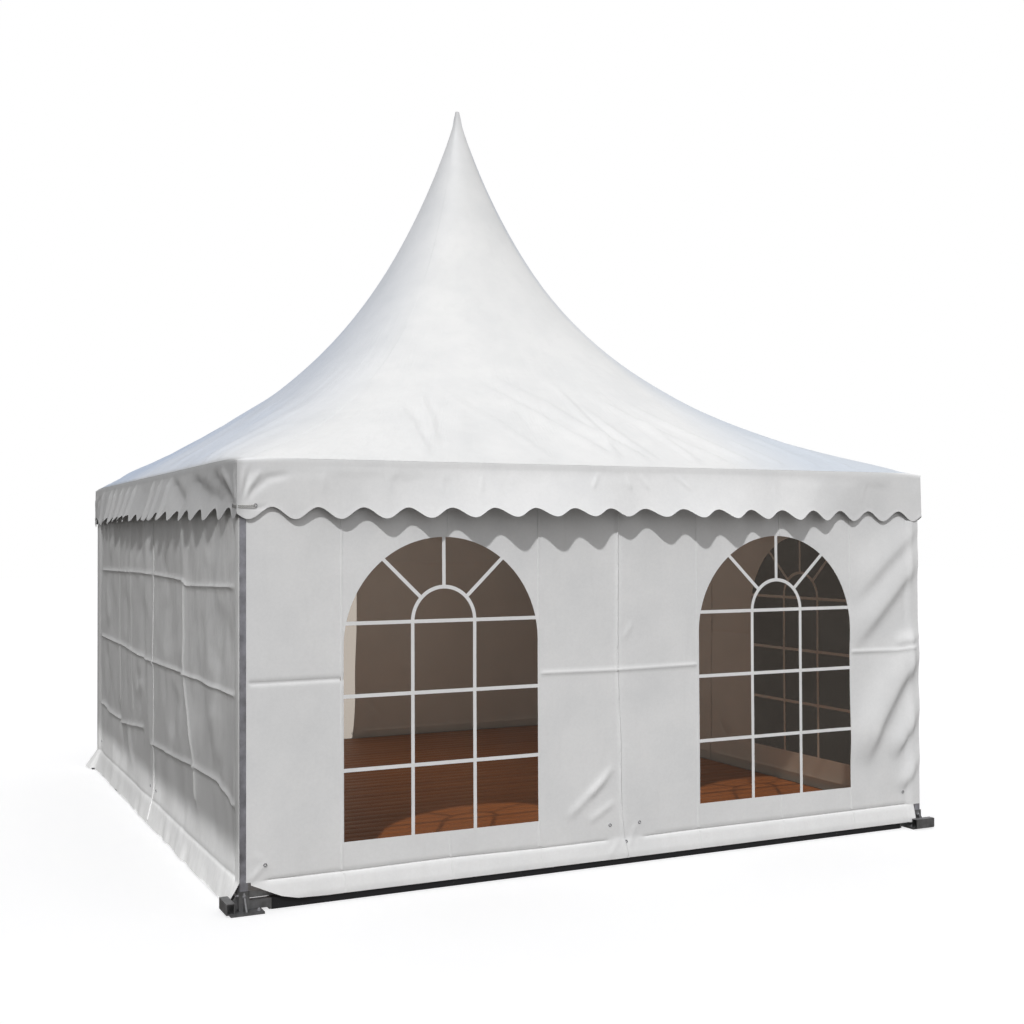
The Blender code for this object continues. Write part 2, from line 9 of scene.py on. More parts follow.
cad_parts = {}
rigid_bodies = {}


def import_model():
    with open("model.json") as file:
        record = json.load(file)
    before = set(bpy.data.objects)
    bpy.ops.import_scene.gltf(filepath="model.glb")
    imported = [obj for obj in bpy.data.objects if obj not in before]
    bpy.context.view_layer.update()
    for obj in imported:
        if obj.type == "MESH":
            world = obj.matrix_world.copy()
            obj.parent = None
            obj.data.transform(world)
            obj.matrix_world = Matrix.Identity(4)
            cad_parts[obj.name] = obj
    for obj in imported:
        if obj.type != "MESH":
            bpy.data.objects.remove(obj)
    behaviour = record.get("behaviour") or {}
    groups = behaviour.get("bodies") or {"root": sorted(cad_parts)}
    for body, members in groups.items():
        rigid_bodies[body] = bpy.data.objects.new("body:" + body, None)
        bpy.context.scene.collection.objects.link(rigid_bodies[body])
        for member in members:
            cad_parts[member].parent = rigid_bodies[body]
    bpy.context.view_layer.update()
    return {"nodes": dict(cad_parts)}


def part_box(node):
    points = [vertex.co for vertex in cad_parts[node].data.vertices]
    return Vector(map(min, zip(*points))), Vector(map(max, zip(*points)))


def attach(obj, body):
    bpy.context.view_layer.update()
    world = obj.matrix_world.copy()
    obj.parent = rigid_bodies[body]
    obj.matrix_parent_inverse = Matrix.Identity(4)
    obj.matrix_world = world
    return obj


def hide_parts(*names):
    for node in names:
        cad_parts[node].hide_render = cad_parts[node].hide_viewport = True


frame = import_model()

# Looks of a square high-peak marquee tent: cloth sheets, clear films, boards, hardware and light.
# Metres, +Z up. A side k (0 front, 1 right, 2 back, 3 left) has its own coordinates:
# a runs along it to the right seen from outside, d is the distance from the centre, z the height.

# Roof shape, from the frame's roof
ROOF_LOW, ROOF_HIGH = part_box("roof_canopy")
ROOF_HALF = ROOF_HIGH.x
PEAK_Z = ROOF_HIGH.z
LIP_LOW = ROOF_LOW.z
EAVE_Z = LIP_LOW + 0.047
LIP_HIGH = EAVE_Z - 0.01
HIP_DROP = 2.09
HIP_LENGTH = 0.604
HIP_SLOPE = PEAK_Z - EAVE_Z - HIP_DROP
HIP_POWER = 1.176
ROUND_POWER = 0.7
EVEN_TURN = 0.427
ROOF_CLOTH = 0.004

# Band below the eave
BAND_TOP = EAVE_Z - 0.024
BAND_FACE = ROOF_HALF + 0.0055
BAND_CLOTH = 0.0025
SCALLOP_PITCH = 0.274
SCALLOP_CREST = -2.334
SCALLOP_MID = 2.249
SCALLOP_SWING = 0.037

# Walls
WALL_FACE = 2.5
WALL_CLOTH = 0.003
WALL_EDGE = 2.4764
WALL_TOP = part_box("wall_front_left")[1].z
# from where a sheet comes out over its corner post, and over what distance
WRAP_START = 2.405
WRAP = 0.04
SOFT_WRAP_START = 1.94
SOFT_WRAP = 0.51
SKIRT_EDGE = 2.452
SKIRT_TOP = 0.165
FLARE_TOP = 0.36
HEM_Z = 0.04
WINDOW_CENTRE = 1.25
WINDOW_HALF = 0.642
WINDOW_LOW = 0.329
WINDOW_TOP = 2.105
WINDOW_ARCH = WINDOW_TOP - WINDOW_HALF
BAR = 0.022
BAR_ROWS = (0.743, 1.173, 1.599)
BAR_COLUMN = 0.205
FAN_RADIUS = 0.205
FAN_TILT = 0.76

# Deck
DECK_LOW, DECK_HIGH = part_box("floor_deck")
BOARD_COUNT = 41
JOIST_HIGH = 0.065

# Share of the key light that the scrim lets through, and where it starts
SCRIM_CLEAR = -3.6
SCRIM_FULL = -2.25
SCRIM_TINT = (0.43, 0.52, 0.69)

SIDES = ("front", "right", "back", "left")
CORNERS = ("front_right", "back_right", "back_left", "front_left")


# Camera and light

def add_object(name, data):
    """New object in the scene."""
    obj = bpy.data.objects.new(name, data)
    bpy.context.scene.collection.objects.link(obj)
    return obj


def hide(obj, *rays):
    """Keep an object out of some kinds of rays."""
    for ray in rays:
        setattr(obj, f"visible_{ray}", False)


def make_camera():
    """Camera at the photograph's place, with its lens and framing."""
    yaw, pitch, roll = 0.4272, 0.019, -0.0032
    forward = Vector((sin(yaw) * cos(pitch), cos(yaw) * cos(pitch), sin(pitch)))
    right = Vector((cos(yaw), -sin(yaw), 0.0))
    up = right.cross(forward)
    axes = Matrix((cos(roll) * right + sin(roll) * up, cos(roll) * up - sin(roll) * right, -forward))
    place = (-4.3688, -9.4888, 2.0981)
    data = bpy.data.cameras.new("camera")
    data.sensor_width, data.lens, data.clip_end = 36.0, 44.41, 200.0
    data.shift_x, data.shift_y = 0.0575, 0.0019
    camera = add_object("camera", data)
    camera.matrix_world = Matrix.Translation(place) @ axes.transposed().to_4x4()
    bpy.context.scene.camera = camera


def make_world():
    """Soft sky for the light, plain white for the backdrop."""
    world = bpy.data.worlds.new("studio")
    bpy.context.scene.world = world
    world.use_nodes = True
    world.node_tree.nodes.clear()
    sky = Nodes(world.node_tree)
    place = sky.node("TexCoord").outputs["Generated"]
    axes = sky.node("SeparateXYZ", {0: place}).outputs
    stops = ((0.0, (0.1, 0.095, 0.09)), (0.48, (0.22, 0.21, 0.2)), (0.53, (0.67, 0.67, 0.67)),
             (0.75, (0.7, 0.7, 0.705)), (1.0, (0.7, 0.705, 0.72)))
    glow = sky.node("Background", {"Color": sky.ramp(sky.spread(axes["Z"], -1.0, 1.0), stops),
                                             "Strength": sky.spread(axes["X"], -1.0, 0.1, 0.5, 1.0)})
    white = sky.node("Background", {"Color": (1.0, 1.0, 1.0, 1.0)})
    seen = sky.node("LightPath").outputs["Is Camera Ray"]
    mixed = sky.node("MixShader", {0: seen, 1: glow.outputs[0], 2: white.outputs[0]})
    sky.node("OutputWorld", {"Surface": mixed.outputs[0]})


def make_sun(name, towards, strength, spread):
    """Far light in a given direction."""
    data = bpy.data.lights.new(name, "SUN")
    data.energy, data.angle = strength, radians(spread)
    sun = add_object(name, data)
    sun.rotation_mode = "QUATERNION"
    sun.rotation_quaternion = Vector(towards).to_track_quat("Z", "Y")
    sun.location = Vector(towards) * 12
    return sun


def make_inner_lamp():
    """Soft lamp that stands for the light which the cloth lets through."""
    data = bpy.data.lights.new("inner_glow", "POINT")
    data.energy, data.shadow_soft_size, data.color = 34.0, 0.6, (1.0, 0.95, 0.89)
    lamp = add_object("inner_glow", data)
    lamp.location = (0.0, 0.3, 1.75)
    hide(lamp, "camera", "glossy", "transmission")
    return lamp


def link_light(light, part, objects, state):
    """Say which objects a light reaches, or which block it: only these, or all but these."""
    group = bpy.data.collections.new(f"{light.name}_{part}")
    for obj in objects:
        group.objects.link(obj)
    for entry in group.collection_objects:
        entry.light_linking.link_state = state
    setattr(light.light_linking, f"{part}_collection", group)


def make_floor():
    """Plain pale floor that takes only a faint contact shadow."""
    shader = Shader("floor_paint", 0.9)
    shader.set("Base Color", (0.52, 0.52, 0.52, 1.0))
    grain = shader.noise(3.0, 3.0)
    shader.set("Emission Color", shader.ramp(grain, ((0.3, (0.99, 0.99, 1.0)), (0.7, (1.0, 1.0, 1.0)))))
    shader.set("Emission Strength", 0.71)
    size, z = 60.0, -0.002
    corners = [(-size, -size, z), (size, -size, z), (size, size, z), (-size, size, z)]
    floor = add_mesh("studio_floor", corners, [(0, 1, 2, 3)], shader.material)
    hide(floor, "diffuse", "glossy")
    return floor


def make_flag(name, near, low, high, material):
    """Upright sheet to the left of the tent that only casts a shadow."""
    x, far = -3.5, 3.2
    corners = [(x, near, low), (x, far, low), (x, far, high), (x, near, high)]
    flag = add_mesh(name, corners, [(0, 1, 2, 3)], material)
    hide(flag, "camera", "diffuse", "glossy", "transmission")
    return flag


def make_flags():
    """Card and scrim beside the tent: no key light on the left wall, less on the left of the roof."""
    card = Shader("card_cloth", 1.0)
    card.set("Base Color", (0.02, 0.02, 0.02, 1.0))
    scrim = Shader("scrim_cloth", 1.0)
    slant = scrim.math("ADD", scrim.axis("Y"), scrim.times(scrim.axis("Z"), 0.085))
    let_through = [scrim.spread(slant, SCRIM_CLEAR, SCRIM_FULL, 1.0, share) for share in SCRIM_TINT]
    colour = scrim.node("CombineColor", dict(enumerate(let_through))).outputs[0]
    scrim.show(scrim.node("BsdfTransparent", {"Color": colour}))
    edge = 4.165
    return (make_flag("studio_card", -3.742, 1.97, edge, card.material),
            make_flag("studio_scrim", -6.0, edge, 12.0, scrim.material))


# Numbers and shapes

NOISE_CELLS = 128


def value_noise(x, y, seed):
    """Smooth noise between -1 and 1 with one feature per unit."""
    table = np.random.default_rng(seed).uniform(-1, 1, (NOISE_CELLS, NOISE_CELLS))
    i, j = np.floor(x).astype(int), np.floor(y).astype(int)
    u, v = x - i, y - j
    u = u ** 3 * (u * (6 * u - 15) + 10)
    v = v ** 3 * (v * (6 * v - 15) + 10)

    def at(di, dj):
        return table[(i + di) % NOISE_CELLS, (j + dj) % NOISE_CELLS]

    low = at(0, 0) * (1 - u) + at(1, 0) * u
    high = at(0, 1) * (1 - u) + at(1, 1) * u
    return low * (1 - v) + high * v


def eased(t):
    """Smooth step from 0 to 1."""
    t = np.clip(t, 0, 1)
    return t * t * (3 - 2 * t)


def curve_through(places, values, x):
    """Smooth curve through a few values."""
    places, values = np.asarray(places, float), np.asarray(values, float)
    slopes = np.gradient(values, places)
    i = np.clip(np.searchsorted(places, x) - 1, 0, len(places) - 2)
    size = places[i + 1] - places[i]
    t = np.clip((x - places[i]) / size, 0, 1)
    return ((2 * t ** 3 - 3 * t ** 2 + 1) * values[i] + (t ** 3 - 2 * t ** 2 + t) * size * slopes[i]
            + (3 * t ** 2 - 2 * t ** 3) * values[i + 1] + (t ** 3 - t ** 2) * size * slopes[i + 1])


def fold(x, y, path, height, width, ends=0.3, gentle=0.0):
    """Rounded fold along a path, fading out over a share of its length at both ends.

    With a gentle width, the side to the left of the path is that wide instead.
    """
    path = np.asarray(path, float)
    sizes = np.linalg.norm(np.diff(path, axis=0), axis=1)
    near = np.full(np.shape(x), np.inf)
    along = np.zeros(np.shape(x))
    wide = np.full(np.shape(x), width)
    start = 0.0
    for p, q, size in zip(path[:-1], path[1:], sizes):
        step = (q - p) / size ** 2
        t = np.clip((x - p[0]) * step[0] + (y - p[1]) * step[1], 0, 1)
        away = np.hypot(x - p[0] - t * (q[0] - p[0]), y - p[1] - t * (q[1] - p[1]))
        closer = away < near
        near = np.where(closer, away, near)
        along = np.where(closer, start + t * size, along)
        if gentle:
            left = (q[0] - p[0]) * (y - p[1]) - (q[1] - p[1]) * (x - p[0]) > 0
            wide = np.where(closer, np.where(left, gentle, width), wide)
        start += size
    share = along / start
    fade = eased(share / ends) * eased((1 - share) / ends)
    return height * np.exp(-(near / wide) ** 2) * fade


def side_place(k, a, d, z):
    """World places of points given in a side's own coordinates."""
    x, y = a, -d
    for _ in range(k):
        x, y = -y, x
    return np.stack(np.broadcast_arrays(x, y, z), axis=-1).reshape(-1, 3)


def arc(cx, cz, radius, start, end, steps):
    """Points on an arc, both ends included."""
    return [(cx + radius * cos(start + (end - start) * i / steps),
             cz + radius * sin(start + (end - start) * i / steps)) for i in range(steps + 1)]


# Meshes

def add_mesh(name, verts, faces, material, smooth_angle=None):
    """Mesh object, shaded smooth below an angle in degrees."""
    mesh = bpy.data.meshes.new(name)
    mesh.from_pydata(np.asarray(verts, float).tolist(), [], [tuple(f) for f in faces])
    if smooth_angle:
        mesh.shade_smooth()
        mesh.set_sharp_from_angle(angle=radians(smooth_angle))
    mesh.materials.append(material)
    return add_object(name, mesh)


def piece(name, verts, faces, material, slot, smooth_angle=50, nodes=()):
    """Mesh object that belongs to the tent."""
    obj = add_mesh(name, verts, faces, material, smooth_angle)
    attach(obj, "root")
    if nodes:
        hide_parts(*nodes)
    return obj


def joined(parts):
    """One list of points and one of faces from several."""
    verts, faces = [], []
    for part_verts, part_faces in parts:
        first = len(verts)
        verts.extend([tuple(v) for v in part_verts])
        faces.extend([tuple(first + i for i in f) for f in part_faces])
    return verts, faces


def joined_piece(name, parts, material, slot, smooth_angle, nodes=()):
    """One piece made of several parts."""
    return piece(name, *joined(parts), material, slot, smooth_angle, nodes)


def grid_faces(columns, rows, closed=False):
    """Quads of a grid whose points run along its columns first."""
    faces = []
    wide = columns if closed else columns - 1
    for j in range(rows - 1):
        for i in range(wide):
            n = (i + 1) % columns
            faces.append((j * columns + i, j * columns + n, (j + 1) * columns + n, (j + 1) * columns + i))
    return faces


def end_faces(sides, last):
    """Faces that close the first and the last ring of a solid."""
    return [tuple(reversed(range(sides))), tuple(range(last, last + sides))]


def face_groups(points, faces):
    """Triangles and then quads: the numbers of their corners, and normals of twice their area."""
    for size in (3, 4):
        chosen = np.array([f for f in faces if len(f) == size], int)
        if len(chosen):
            corners = points[chosen]
            yield chosen, np.cross(corners[:, 2] - corners[:, 0], corners[:, -1] - corners[:, 1])


def normals_of(points, faces):
    """Average normal at each point."""
    sums = np.zeros_like(points)
    for chosen, face_normals in face_groups(points, faces):
        for corner in chosen.T:
            np.add.at(sums, corner, face_normals)
    return sums / np.maximum(np.linalg.norm(sums, axis=1, keepdims=True), 1e-12)


def surface_area(points, faces):
    """Area of a surface of triangles and quads."""
    return sum(0.5 * float(np.linalg.norm(n, axis=1).sum()) for _, n in face_groups(points, faces))


def thick_sheet(points, faces, thick):
    """Sheet with a front and a back layer and closed edges."""
    points = np.asarray(points, float)
    back = points - normals_of(points, faces) * thick
    count = len(points)
    used = {(f[i], f[(i + 1) % len(f)]) for f in faces for i in range(len(f))}
    solid = [tuple(f) for f in faces] + [tuple(count + i for i in reversed(f)) for f in faces]
    solid += [(j, i, count + i, count + j) for i, j in sorted(used) if (j, i) not in used]
    return np.concatenate([points, back]), solid


def sheet_piece(name, points, faces, thick, material, slot, nodes, smooth_angle=50):
    """Piece of cloth or film."""
    return piece(name, *thick_sheet(points, faces, thick), material, slot, smooth_angle, nodes)


def inside(loops, x, y):
    """Whether points lie inside an outline with holes."""
    odd = np.zeros(np.shape(x), bool)
    for loop in loops:
        for (x0, y0), (x1, y1) in zip(loop, loop[1:] + loop[:1]):
            if y0 != y1:
                odd ^= ((y0 > y) != (y1 > y)) & (x < x0 + (y - y0) * (x1 - x0) / (y1 - y0))
    return odd


def finely(loop, spacing):
    """Closed outline with extra points on its long edges."""
    points = []
    for p, q in zip(loop, loop[1:] + loop[:1]):
        count = max(1, round(hypot(q[0] - p[0], q[1] - p[1]) / spacing))
        points += [(p[0] + (q[0] - p[0]) * i / count, p[1] + (q[1] - p[1]) * i / count) for i in range(count)]
    return points


def beside(path, width, spacing):
    """Points along a path and at both sides of it, for a narrow fold."""
    points = []
    for p, q in zip(path[:-1], path[1:]):
        size = hypot(q[0] - p[0], q[1] - p[1])
        ux, uy = (q[0] - p[0]) / size, (q[1] - p[1]) / size
        count = max(1, round(size / spacing))
        for i in range(count + 1):
            x, y = p[0] + ux * size * i / count, p[1] + uy * size * i / count
            points += [(x - uy * width * s, y + ux * width * s) for s in (-1.8, -0.9, 0.0, 0.9, 1.8)]
    return points


def net(loops, spacing, narrow=()):
    """Points and triangles that fill an outline with holes, denser beside narrow folds."""
    loops = [finely(loop, spacing) for loop in loops]
    outline = [p for loop in loops for p in loop]
    edges, first = [], 0
    for loop in loops:
        edges += [(first + i, first + (i + 1) % len(loop)) for i in range(len(loop))]
        first += len(loop)
    low, high = np.min(outline, axis=0), np.max(outline, axis=0)
    rise = spacing * sqrt(3) / 2
    rows = np.arange(low[1] + rise / 2, high[1], rise)
    field = [(a, z) for j, z in enumerate(rows)
             for a in np.arange(low[0] + spacing * (0.5 + (j % 2) / 2), high[0], spacing)]
    points = np.array(outline)
    batch = 400
    groups = [(beside(path, width, spacing), 0.5 * width) for path, width in narrow]
    for extra, gap in groups + [(field, 0.62 * spacing)]:
        extra = np.array(extra)
        extra = extra[inside(loops, extra[:, 0], extra[:, 1])]
        keep = np.ones(len(extra), bool)
        for start in range(0, len(extra), batch):
            block = extra[start:start + batch]
            away = np.hypot(block[:, None, 0] - points[None, :, 0], block[:, None, 1] - points[None, :, 1])
            keep[start:start + batch] = away.min(axis=1) > gap
        points = np.concatenate([points, extra[keep]])
    result = delaunay_2d_cdt([Vector(p) for p in points.tolist()], edges, [], 0, 1e-7)
    origin = np.array([source[0] for source in result[3]])
    faces = origin[np.array(result[2])]
    centre = points[faces].mean(axis=1)
    faces = faces[inside(loops, centre[:, 0], centre[:, 1])]
    p, q, r = points[faces[:, 0]], points[faces[:, 1]], points[faces[:, 2]]
    turned = (q[:, 0] - p[:, 0]) * (r[:, 1] - p[:, 1]) < (q[:, 1] - p[:, 1]) * (r[:, 0] - p[:, 0])
    faces[turned] = faces[turned][:, ::-1]
    return points, faces.tolist()


def tube(path, radius, closed=False):
    """Tube along a path."""
    sides = 8
    path = np.asarray(path, float)
    ahead = np.roll(path, -1, axis=0) - np.roll(path, 1, axis=0)
    if not closed:
        ahead[0], ahead[-1] = path[1] - path[0], path[-1] - path[-2]
    ahead /= np.linalg.norm(ahead, axis=1, keepdims=True)
    across = np.cross(ahead[0], (0.0, 0.0, 1.0))
    if np.linalg.norm(across) < 0.1:
        across = np.cross(ahead[0], (1.0, 0.0, 0.0))
    verts = []
    for place, along in zip(path, ahead):
        across = across - along * np.dot(across, along)
        across /= np.linalg.norm(across)
        up = np.cross(along, across)
        for i in range(sides):
            turn = 2 * pi * i / sides
            verts.append(place + radius * (across * cos(turn) + up * sin(turn)))
    faces = grid_faces(sides, len(path), closed=True)
    last = (len(path) - 1) * sides
    if closed:
        faces += [(last + i, last + (i + 1) % sides, (i + 1) % sides, i) for i in range(sides)]
    else:
        faces += end_faces(sides, last)
    return verts, faces


def ring(place, axis, wire):
    """Eyelet about an axis."""
    radius = 0.0085
    turn = Vector(axis).to_track_quat("Z", "Y")
    path = [Vector(place) + turn @ Vector((x, y, 0)) for x, y in arc(0, 0, radius, 0, 2 * pi, 24)[:-1]]
    return tube(path, wire, closed=True)


def turned_solid(place, axis, profile, sides):
    """Solid of stacked rings (distance, radius) along an axis."""
    turn = Vector(axis).to_track_quat("Z", "Y")
    verts = []
    for distance, radius in profile:
        for i in range(sides):
            angle = 2 * pi * i / sides
            verts.append(Vector(place) + turn @ Vector((radius * cos(angle), radius * sin(angle), distance)))
    faces = grid_faces(sides, len(profile), closed=True)
    return verts, faces + end_faces(sides, (len(profile) - 1) * sides)


def bolt(place, axis, size):
    """Washer, hexagon head with a chamfer, and thread end."""
    parts = []
    for sides, profile in ((24, ((0.0, 1.0), (0.2, 1.0), (0.24, 0.94))),
                           (6, ((0.2, 0.84), (0.72, 0.84), (0.84, 0.68))),
                           (16, ((0.8, 0.42), (1.2, 0.42), (1.28, 0.36)))):
        parts.append(turned_solid(place, axis, [(size * up, size * out) for up, out in profile], sides))
    return joined(parts)


# Materials

class Nodes:
    """Short calls for the nodes of a material or of the world."""

    def __init__(self, tree):
        self.tree = tree

    def fill(self, node, inputs):
        """Give sockets a value or a link."""
        for key, value in inputs.items():
            if isinstance(value, bpy.types.NodeSocket):
                self.tree.links.new(value, node.inputs[key])
            else:
                node.inputs[key].default_value = value

    def node(self, kind, inputs=None, **settings):
        """New node with its inputs and settings."""
        node = self.tree.nodes.new("ShaderNode" + kind)
        for key, value in settings.items():
            setattr(node, key, value)
        self.fill(node, inputs or {})
        return node

    def math(self, operation, a, b=0.0):
        return self.node("Math", {0: a, 1: b}, operation=operation).outputs[0]

    def times(self, a, b):
        return self.math("MULTIPLY", a, b)

    def spread(self, value, low, high, to_low=0.0, to_high=1.0):
        """Map a value's range to another, clamped."""
        return self.node("MapRange", {"Value": value, "From Min": low, "From Max": high,
                                                "To Min": to_low, "To Max": to_high}).outputs["Result"]

    def ramp(self, value, stops):
        node = self.node("ValToRGB", {"Fac": value})
        elements = node.color_ramp.elements
        while len(elements) < len(stops):
            elements.new(1.0)
        for element, (position, colour) in zip(elements, stops):
            element.position = position
            element.color = (*colour, 1.0)
        return node.outputs["Color"]


class Shader(Nodes):
    """Principled material laid out by the object's own places."""

    def __init__(self, name, roughness, metallic=0.0):
        self.material = bpy.data.materials.new(name)
        self.material.use_nodes = True
        super().__init__(self.material.node_tree)
        self.main = self.tree.nodes["Principled BSDF"]
        self.set("Roughness", roughness)
        self.set("Metallic", metallic)
        self.place = self.node("TexCoord").outputs["Object"]

    def set(self, socket, value):
        """Give a socket of the main shader a value or a link."""
        self.fill(self.main, {socket: value})

    def show(self, node):
        """Put another shader on the surface."""
        out = [n for n in self.tree.nodes if n.type == "OUTPUT_MATERIAL"][0]
        self.fill(out, {"Surface": node.outputs[0]})

    def scaled(self, factors):
        """Place stretched by a factor along each axis."""
        return self.node("Mapping", {"Vector": self.place, "Scale": factors}).outputs[0]

    def noise(self, scale, detail=3.0, rough=0.5, place=None):
        return self.node("TexNoise", {"Vector": place or self.place, "Scale": scale,
                                                "Detail": detail, "Roughness": rough}).outputs["Fac"]

    def wave(self, scale, direction, place=None):
        inputs = {"Vector": place or self.place, "Scale": scale}
        return self.node("TexWave", inputs, bands_direction=direction).outputs["Fac"]

    def axis(self, name):
        return self.node("SeparateXYZ", {0: self.place}).outputs[name]

    def mix(self, share, a, b, kind="MIX"):
        """Blend two colours, each a link or three numbers."""
        node = self.node("Mix", data_type="RGBA", blend_type=kind)
        for socket, value in (("Factor", share), ("A", a), ("B", b)):
            chosen = [s for s in node.inputs if s.name == socket and s.enabled][0]
            if isinstance(value, bpy.types.NodeSocket):
                self.tree.links.new(value, chosen)
            else:
                chosen.default_value = (*value, 1.0) if isinstance(value, tuple) else value
        return [s for s in node.outputs if s.enabled][0]

    def bump(self, height, distance, strength=1.0, below=None):
        """Relief in metres, on top of another one if given."""
        node = self.node("Bump", {"Height": height, "Distance": distance, "Strength": strength})
        if below:
            self.fill(node, {"Normal": below})
        return node.outputs[0]


def shaded(colour, factor):
    """Colour times a factor."""
    return tuple(c * factor for c in colour)


def roof_painted_shade(shader, base, height):
    """Painted shade: a cooler, darker tone of the roof to the right of the front's middle and beyond the left
    hip, where the cloth turns from the key light.
    """
    turned = shader.math("ARCTAN2", shader.axis("X"), shader.times(shader.axis("Y"), -1.0))
    beyond = shader.math("SUBTRACT", turned, shader.spread(height, 2.6, 3.6, 0.33, 0.62))
    right = shader.times(shader.spread(beyond, 0.0, 0.24), shader.spread(turned, 3.1, 2.3))
    left = shader.times(shader.spread(turned, -1.7, -2.05), shader.spread(turned, -3.1, -2.3))
    # painted shade: the turned-away parts are mixed towards a darker bluish grey
    return shader.mix(shader.math("MAXIMUM", right, left), base, (0.58, 0.622, 0.68))


def rays(shader, height, below):
    """Fine folds of the roof that run up to its peak, weaker at the front."""
    turn = shader.math("ARCTAN2", shader.axis("Y"), shader.axis("X"))
    place = shader.node("CombineXYZ", {"X": turn, "Y": shader.times(height, 0.12)}).outputs[0]
    wider = shader.node("Mapping", {"Vector": place, "Scale": (2.2, 5.0, 1.0)}).outputs[0]
    where = shader.spread(shader.noise(2.2, 2.0, 0.5, wider), 0.4, 0.6)
    where = shader.times(where, shader.spread(height, 3.9, 2.7))
    from_front = shader.math("ABSOLUTE", shader.math("ADD", turn, pi / 2))
    where = shader.times(where, shader.spread(from_front, 0.45, 0.8, 0.35))
    return shader.bump(shader.times(shader.noise(26.0, 3.0, 0.6, place), where), 0.022, 1.0, below)


def left_side_shade(shader, base, height, dull):
    """Left side: painted shade, darker to the back and low down, a painted shadow behind the hem of the band,
    and fibrous mottling.
    """
    # painted shade: darker towards the back of the side
    base = shader.mix(shader.spread(shader.axis("Y"), -2.3, 2.2), base, dull)
    # painted shade: darker low down on the wall, fading out just above the skirt
    low = shader.times(shader.spread(height, 1.5, 0.45, 0.0, 0.9), shader.spread(height, 0.16, 0.4, 0.3))
    base = shader.mix(shader.times(low, shader.spread(height, 0.158, 0.172)), base, dull)
    # painted shadow in the gap behind the band's scalloped hem
    hem_shadow = shader.times(shader.spread(height, 2.225, 2.245), shader.spread(height, 2.33, 2.3))
    base = shader.mix(shader.times(hem_shadow, 0.4), base, (0.16, 0.155, 0.12))
    fibres = shader.noise(4.0, 6.0, 0.7, shader.scaled((3.2, 3.2, 1.3)))
    return shader.mix(shader.spread(fibres, 0.42, 0.72, 0.0, 0.55), base, dull)


def cloth(name, colour, roughness, dirt_top, puckers, seed, part="wall"):
    """Coated canvas: fine weave, soft puckers, mottling, and dust near the ground; painted shade on the left
    side and a painted cool shade on the roof.
    """
    shader = Shader(name, roughness)
    offset = {"Vector": shader.place, "Location": (seed, seed * 0.7, 0.0)}
    place = shader.node("Mapping", offset).outputs[0]
    greyer = tuple(c * f for c, f in zip(colour, (0.945, 0.95, 0.955)))
    mottle = shader.noise(2.6, 5.0, 0.6, place)
    base = shader.ramp(mottle, ((0.3, greyer), (0.62, shaded(colour, 1.02))))
    streaks = shader.noise(5.0, 4.0, 0.6, shader.scaled((3.0, 3.0, 0.5)))
    base = shader.mix(shader.spread(streaks, 0.55, 0.8, 0.0, 0.35), base, shaded(colour, 0.9))
    height = shader.axis("Z")
    patches = shader.noise(9.0, 6.0, 0.65, place)
    dirt = shader.times(shader.spread(height, dirt_top, 0.0), shader.spread(patches, 0.35, 0.75))
    base = shader.mix(shader.times(dirt, 0.09), base, (0.42, 0.36, 0.28))
    dull = shaded(colour, 0.72)
    # painted shade on the left side's walls
    if part == "left":
        base = left_side_shade(shader, base, height, dull)
    # painted cool shade on the roof's turned-away sides
    if part == "roof":
        base = roof_painted_shade(shader, base, height)
    else:
        grain = shader.noise(48.0, 4.0, 0.7, place)
        base = shader.mix(shader.spread(grain, 0.35, 0.7, 0.0, 0.14), base, dull)
    shader.set("Base Color", base)
    shader.set("Roughness", shader.spread(patches, 0.2, 0.8, roughness - 0.06, roughness + 0.1))
    along = {0: shader.place, 1: (1.0, 1.0, 0.0)}
    along = shader.node("VectorMath", along, operation="DOT_PRODUCT").outputs["Value"]
    across = shader.node("CombineXYZ", {"X": along}).outputs[0]
    threads = shader.math("ADD", shader.wave(170.0, "X", across), shader.wave(170.0, "Z"))
    relief = shader.bump(shader.noise(4.0, 2.0, 0.5, place), 0.006 * puckers)
    if part == "roof":
        relief = rays(shader, height, relief)
    shader.set("Normal", shader.bump(threads, 0.00006, 1.0, relief))
    return shader.material


def metal(name, colour, roughness, scratch):
    """Metal with dull patches, fine scratches and darker grime."""
    shader = Shader(name, roughness, 1.0)
    patches = shader.noise(14.0, 6.0, 0.6)
    shader.set("Base Color", shader.ramp(patches, ((0.32, shaded(colour, 0.62)), (0.66, colour))))
    brushed = shader.noise(60.0, 4.0, 0.6, shader.scaled((1.0, 1.0, 0.05)))
    shader.set("Roughness", shader.spread(shader.math("ADD", patches, brushed), 0.7, 1.3,
                                          roughness - 0.08, roughness + 0.18))
    relief = shader.bump(brushed, 0.0003 * scratch)
    shader.set("Normal", shader.bump(shader.noise(220.0, 3.0), 0.0001, 1.0, relief))
    return shader.material


def paint(name, colour, roughness):
    """Dark paint with chips and a slightly rough coat."""
    shader = Shader(name, roughness)
    chips = shader.noise(34.0, 8.0, 0.7)
    base = shader.ramp(shader.noise(6.0, 5.0), ((0.3, shaded(colour, 0.8)), (0.7, colour)))
    shader.set("Base Color", shader.mix(shader.spread(chips, 0.66, 0.7), base, (0.16, 0.15, 0.145)))
    shader.set("Roughness", shader.spread(chips, 0.3, 0.7, roughness - 0.05, roughness + 0.15))
    shader.set("Normal", shader.bump(shader.noise(160.0, 2.0), 0.0002))
    return shader.material


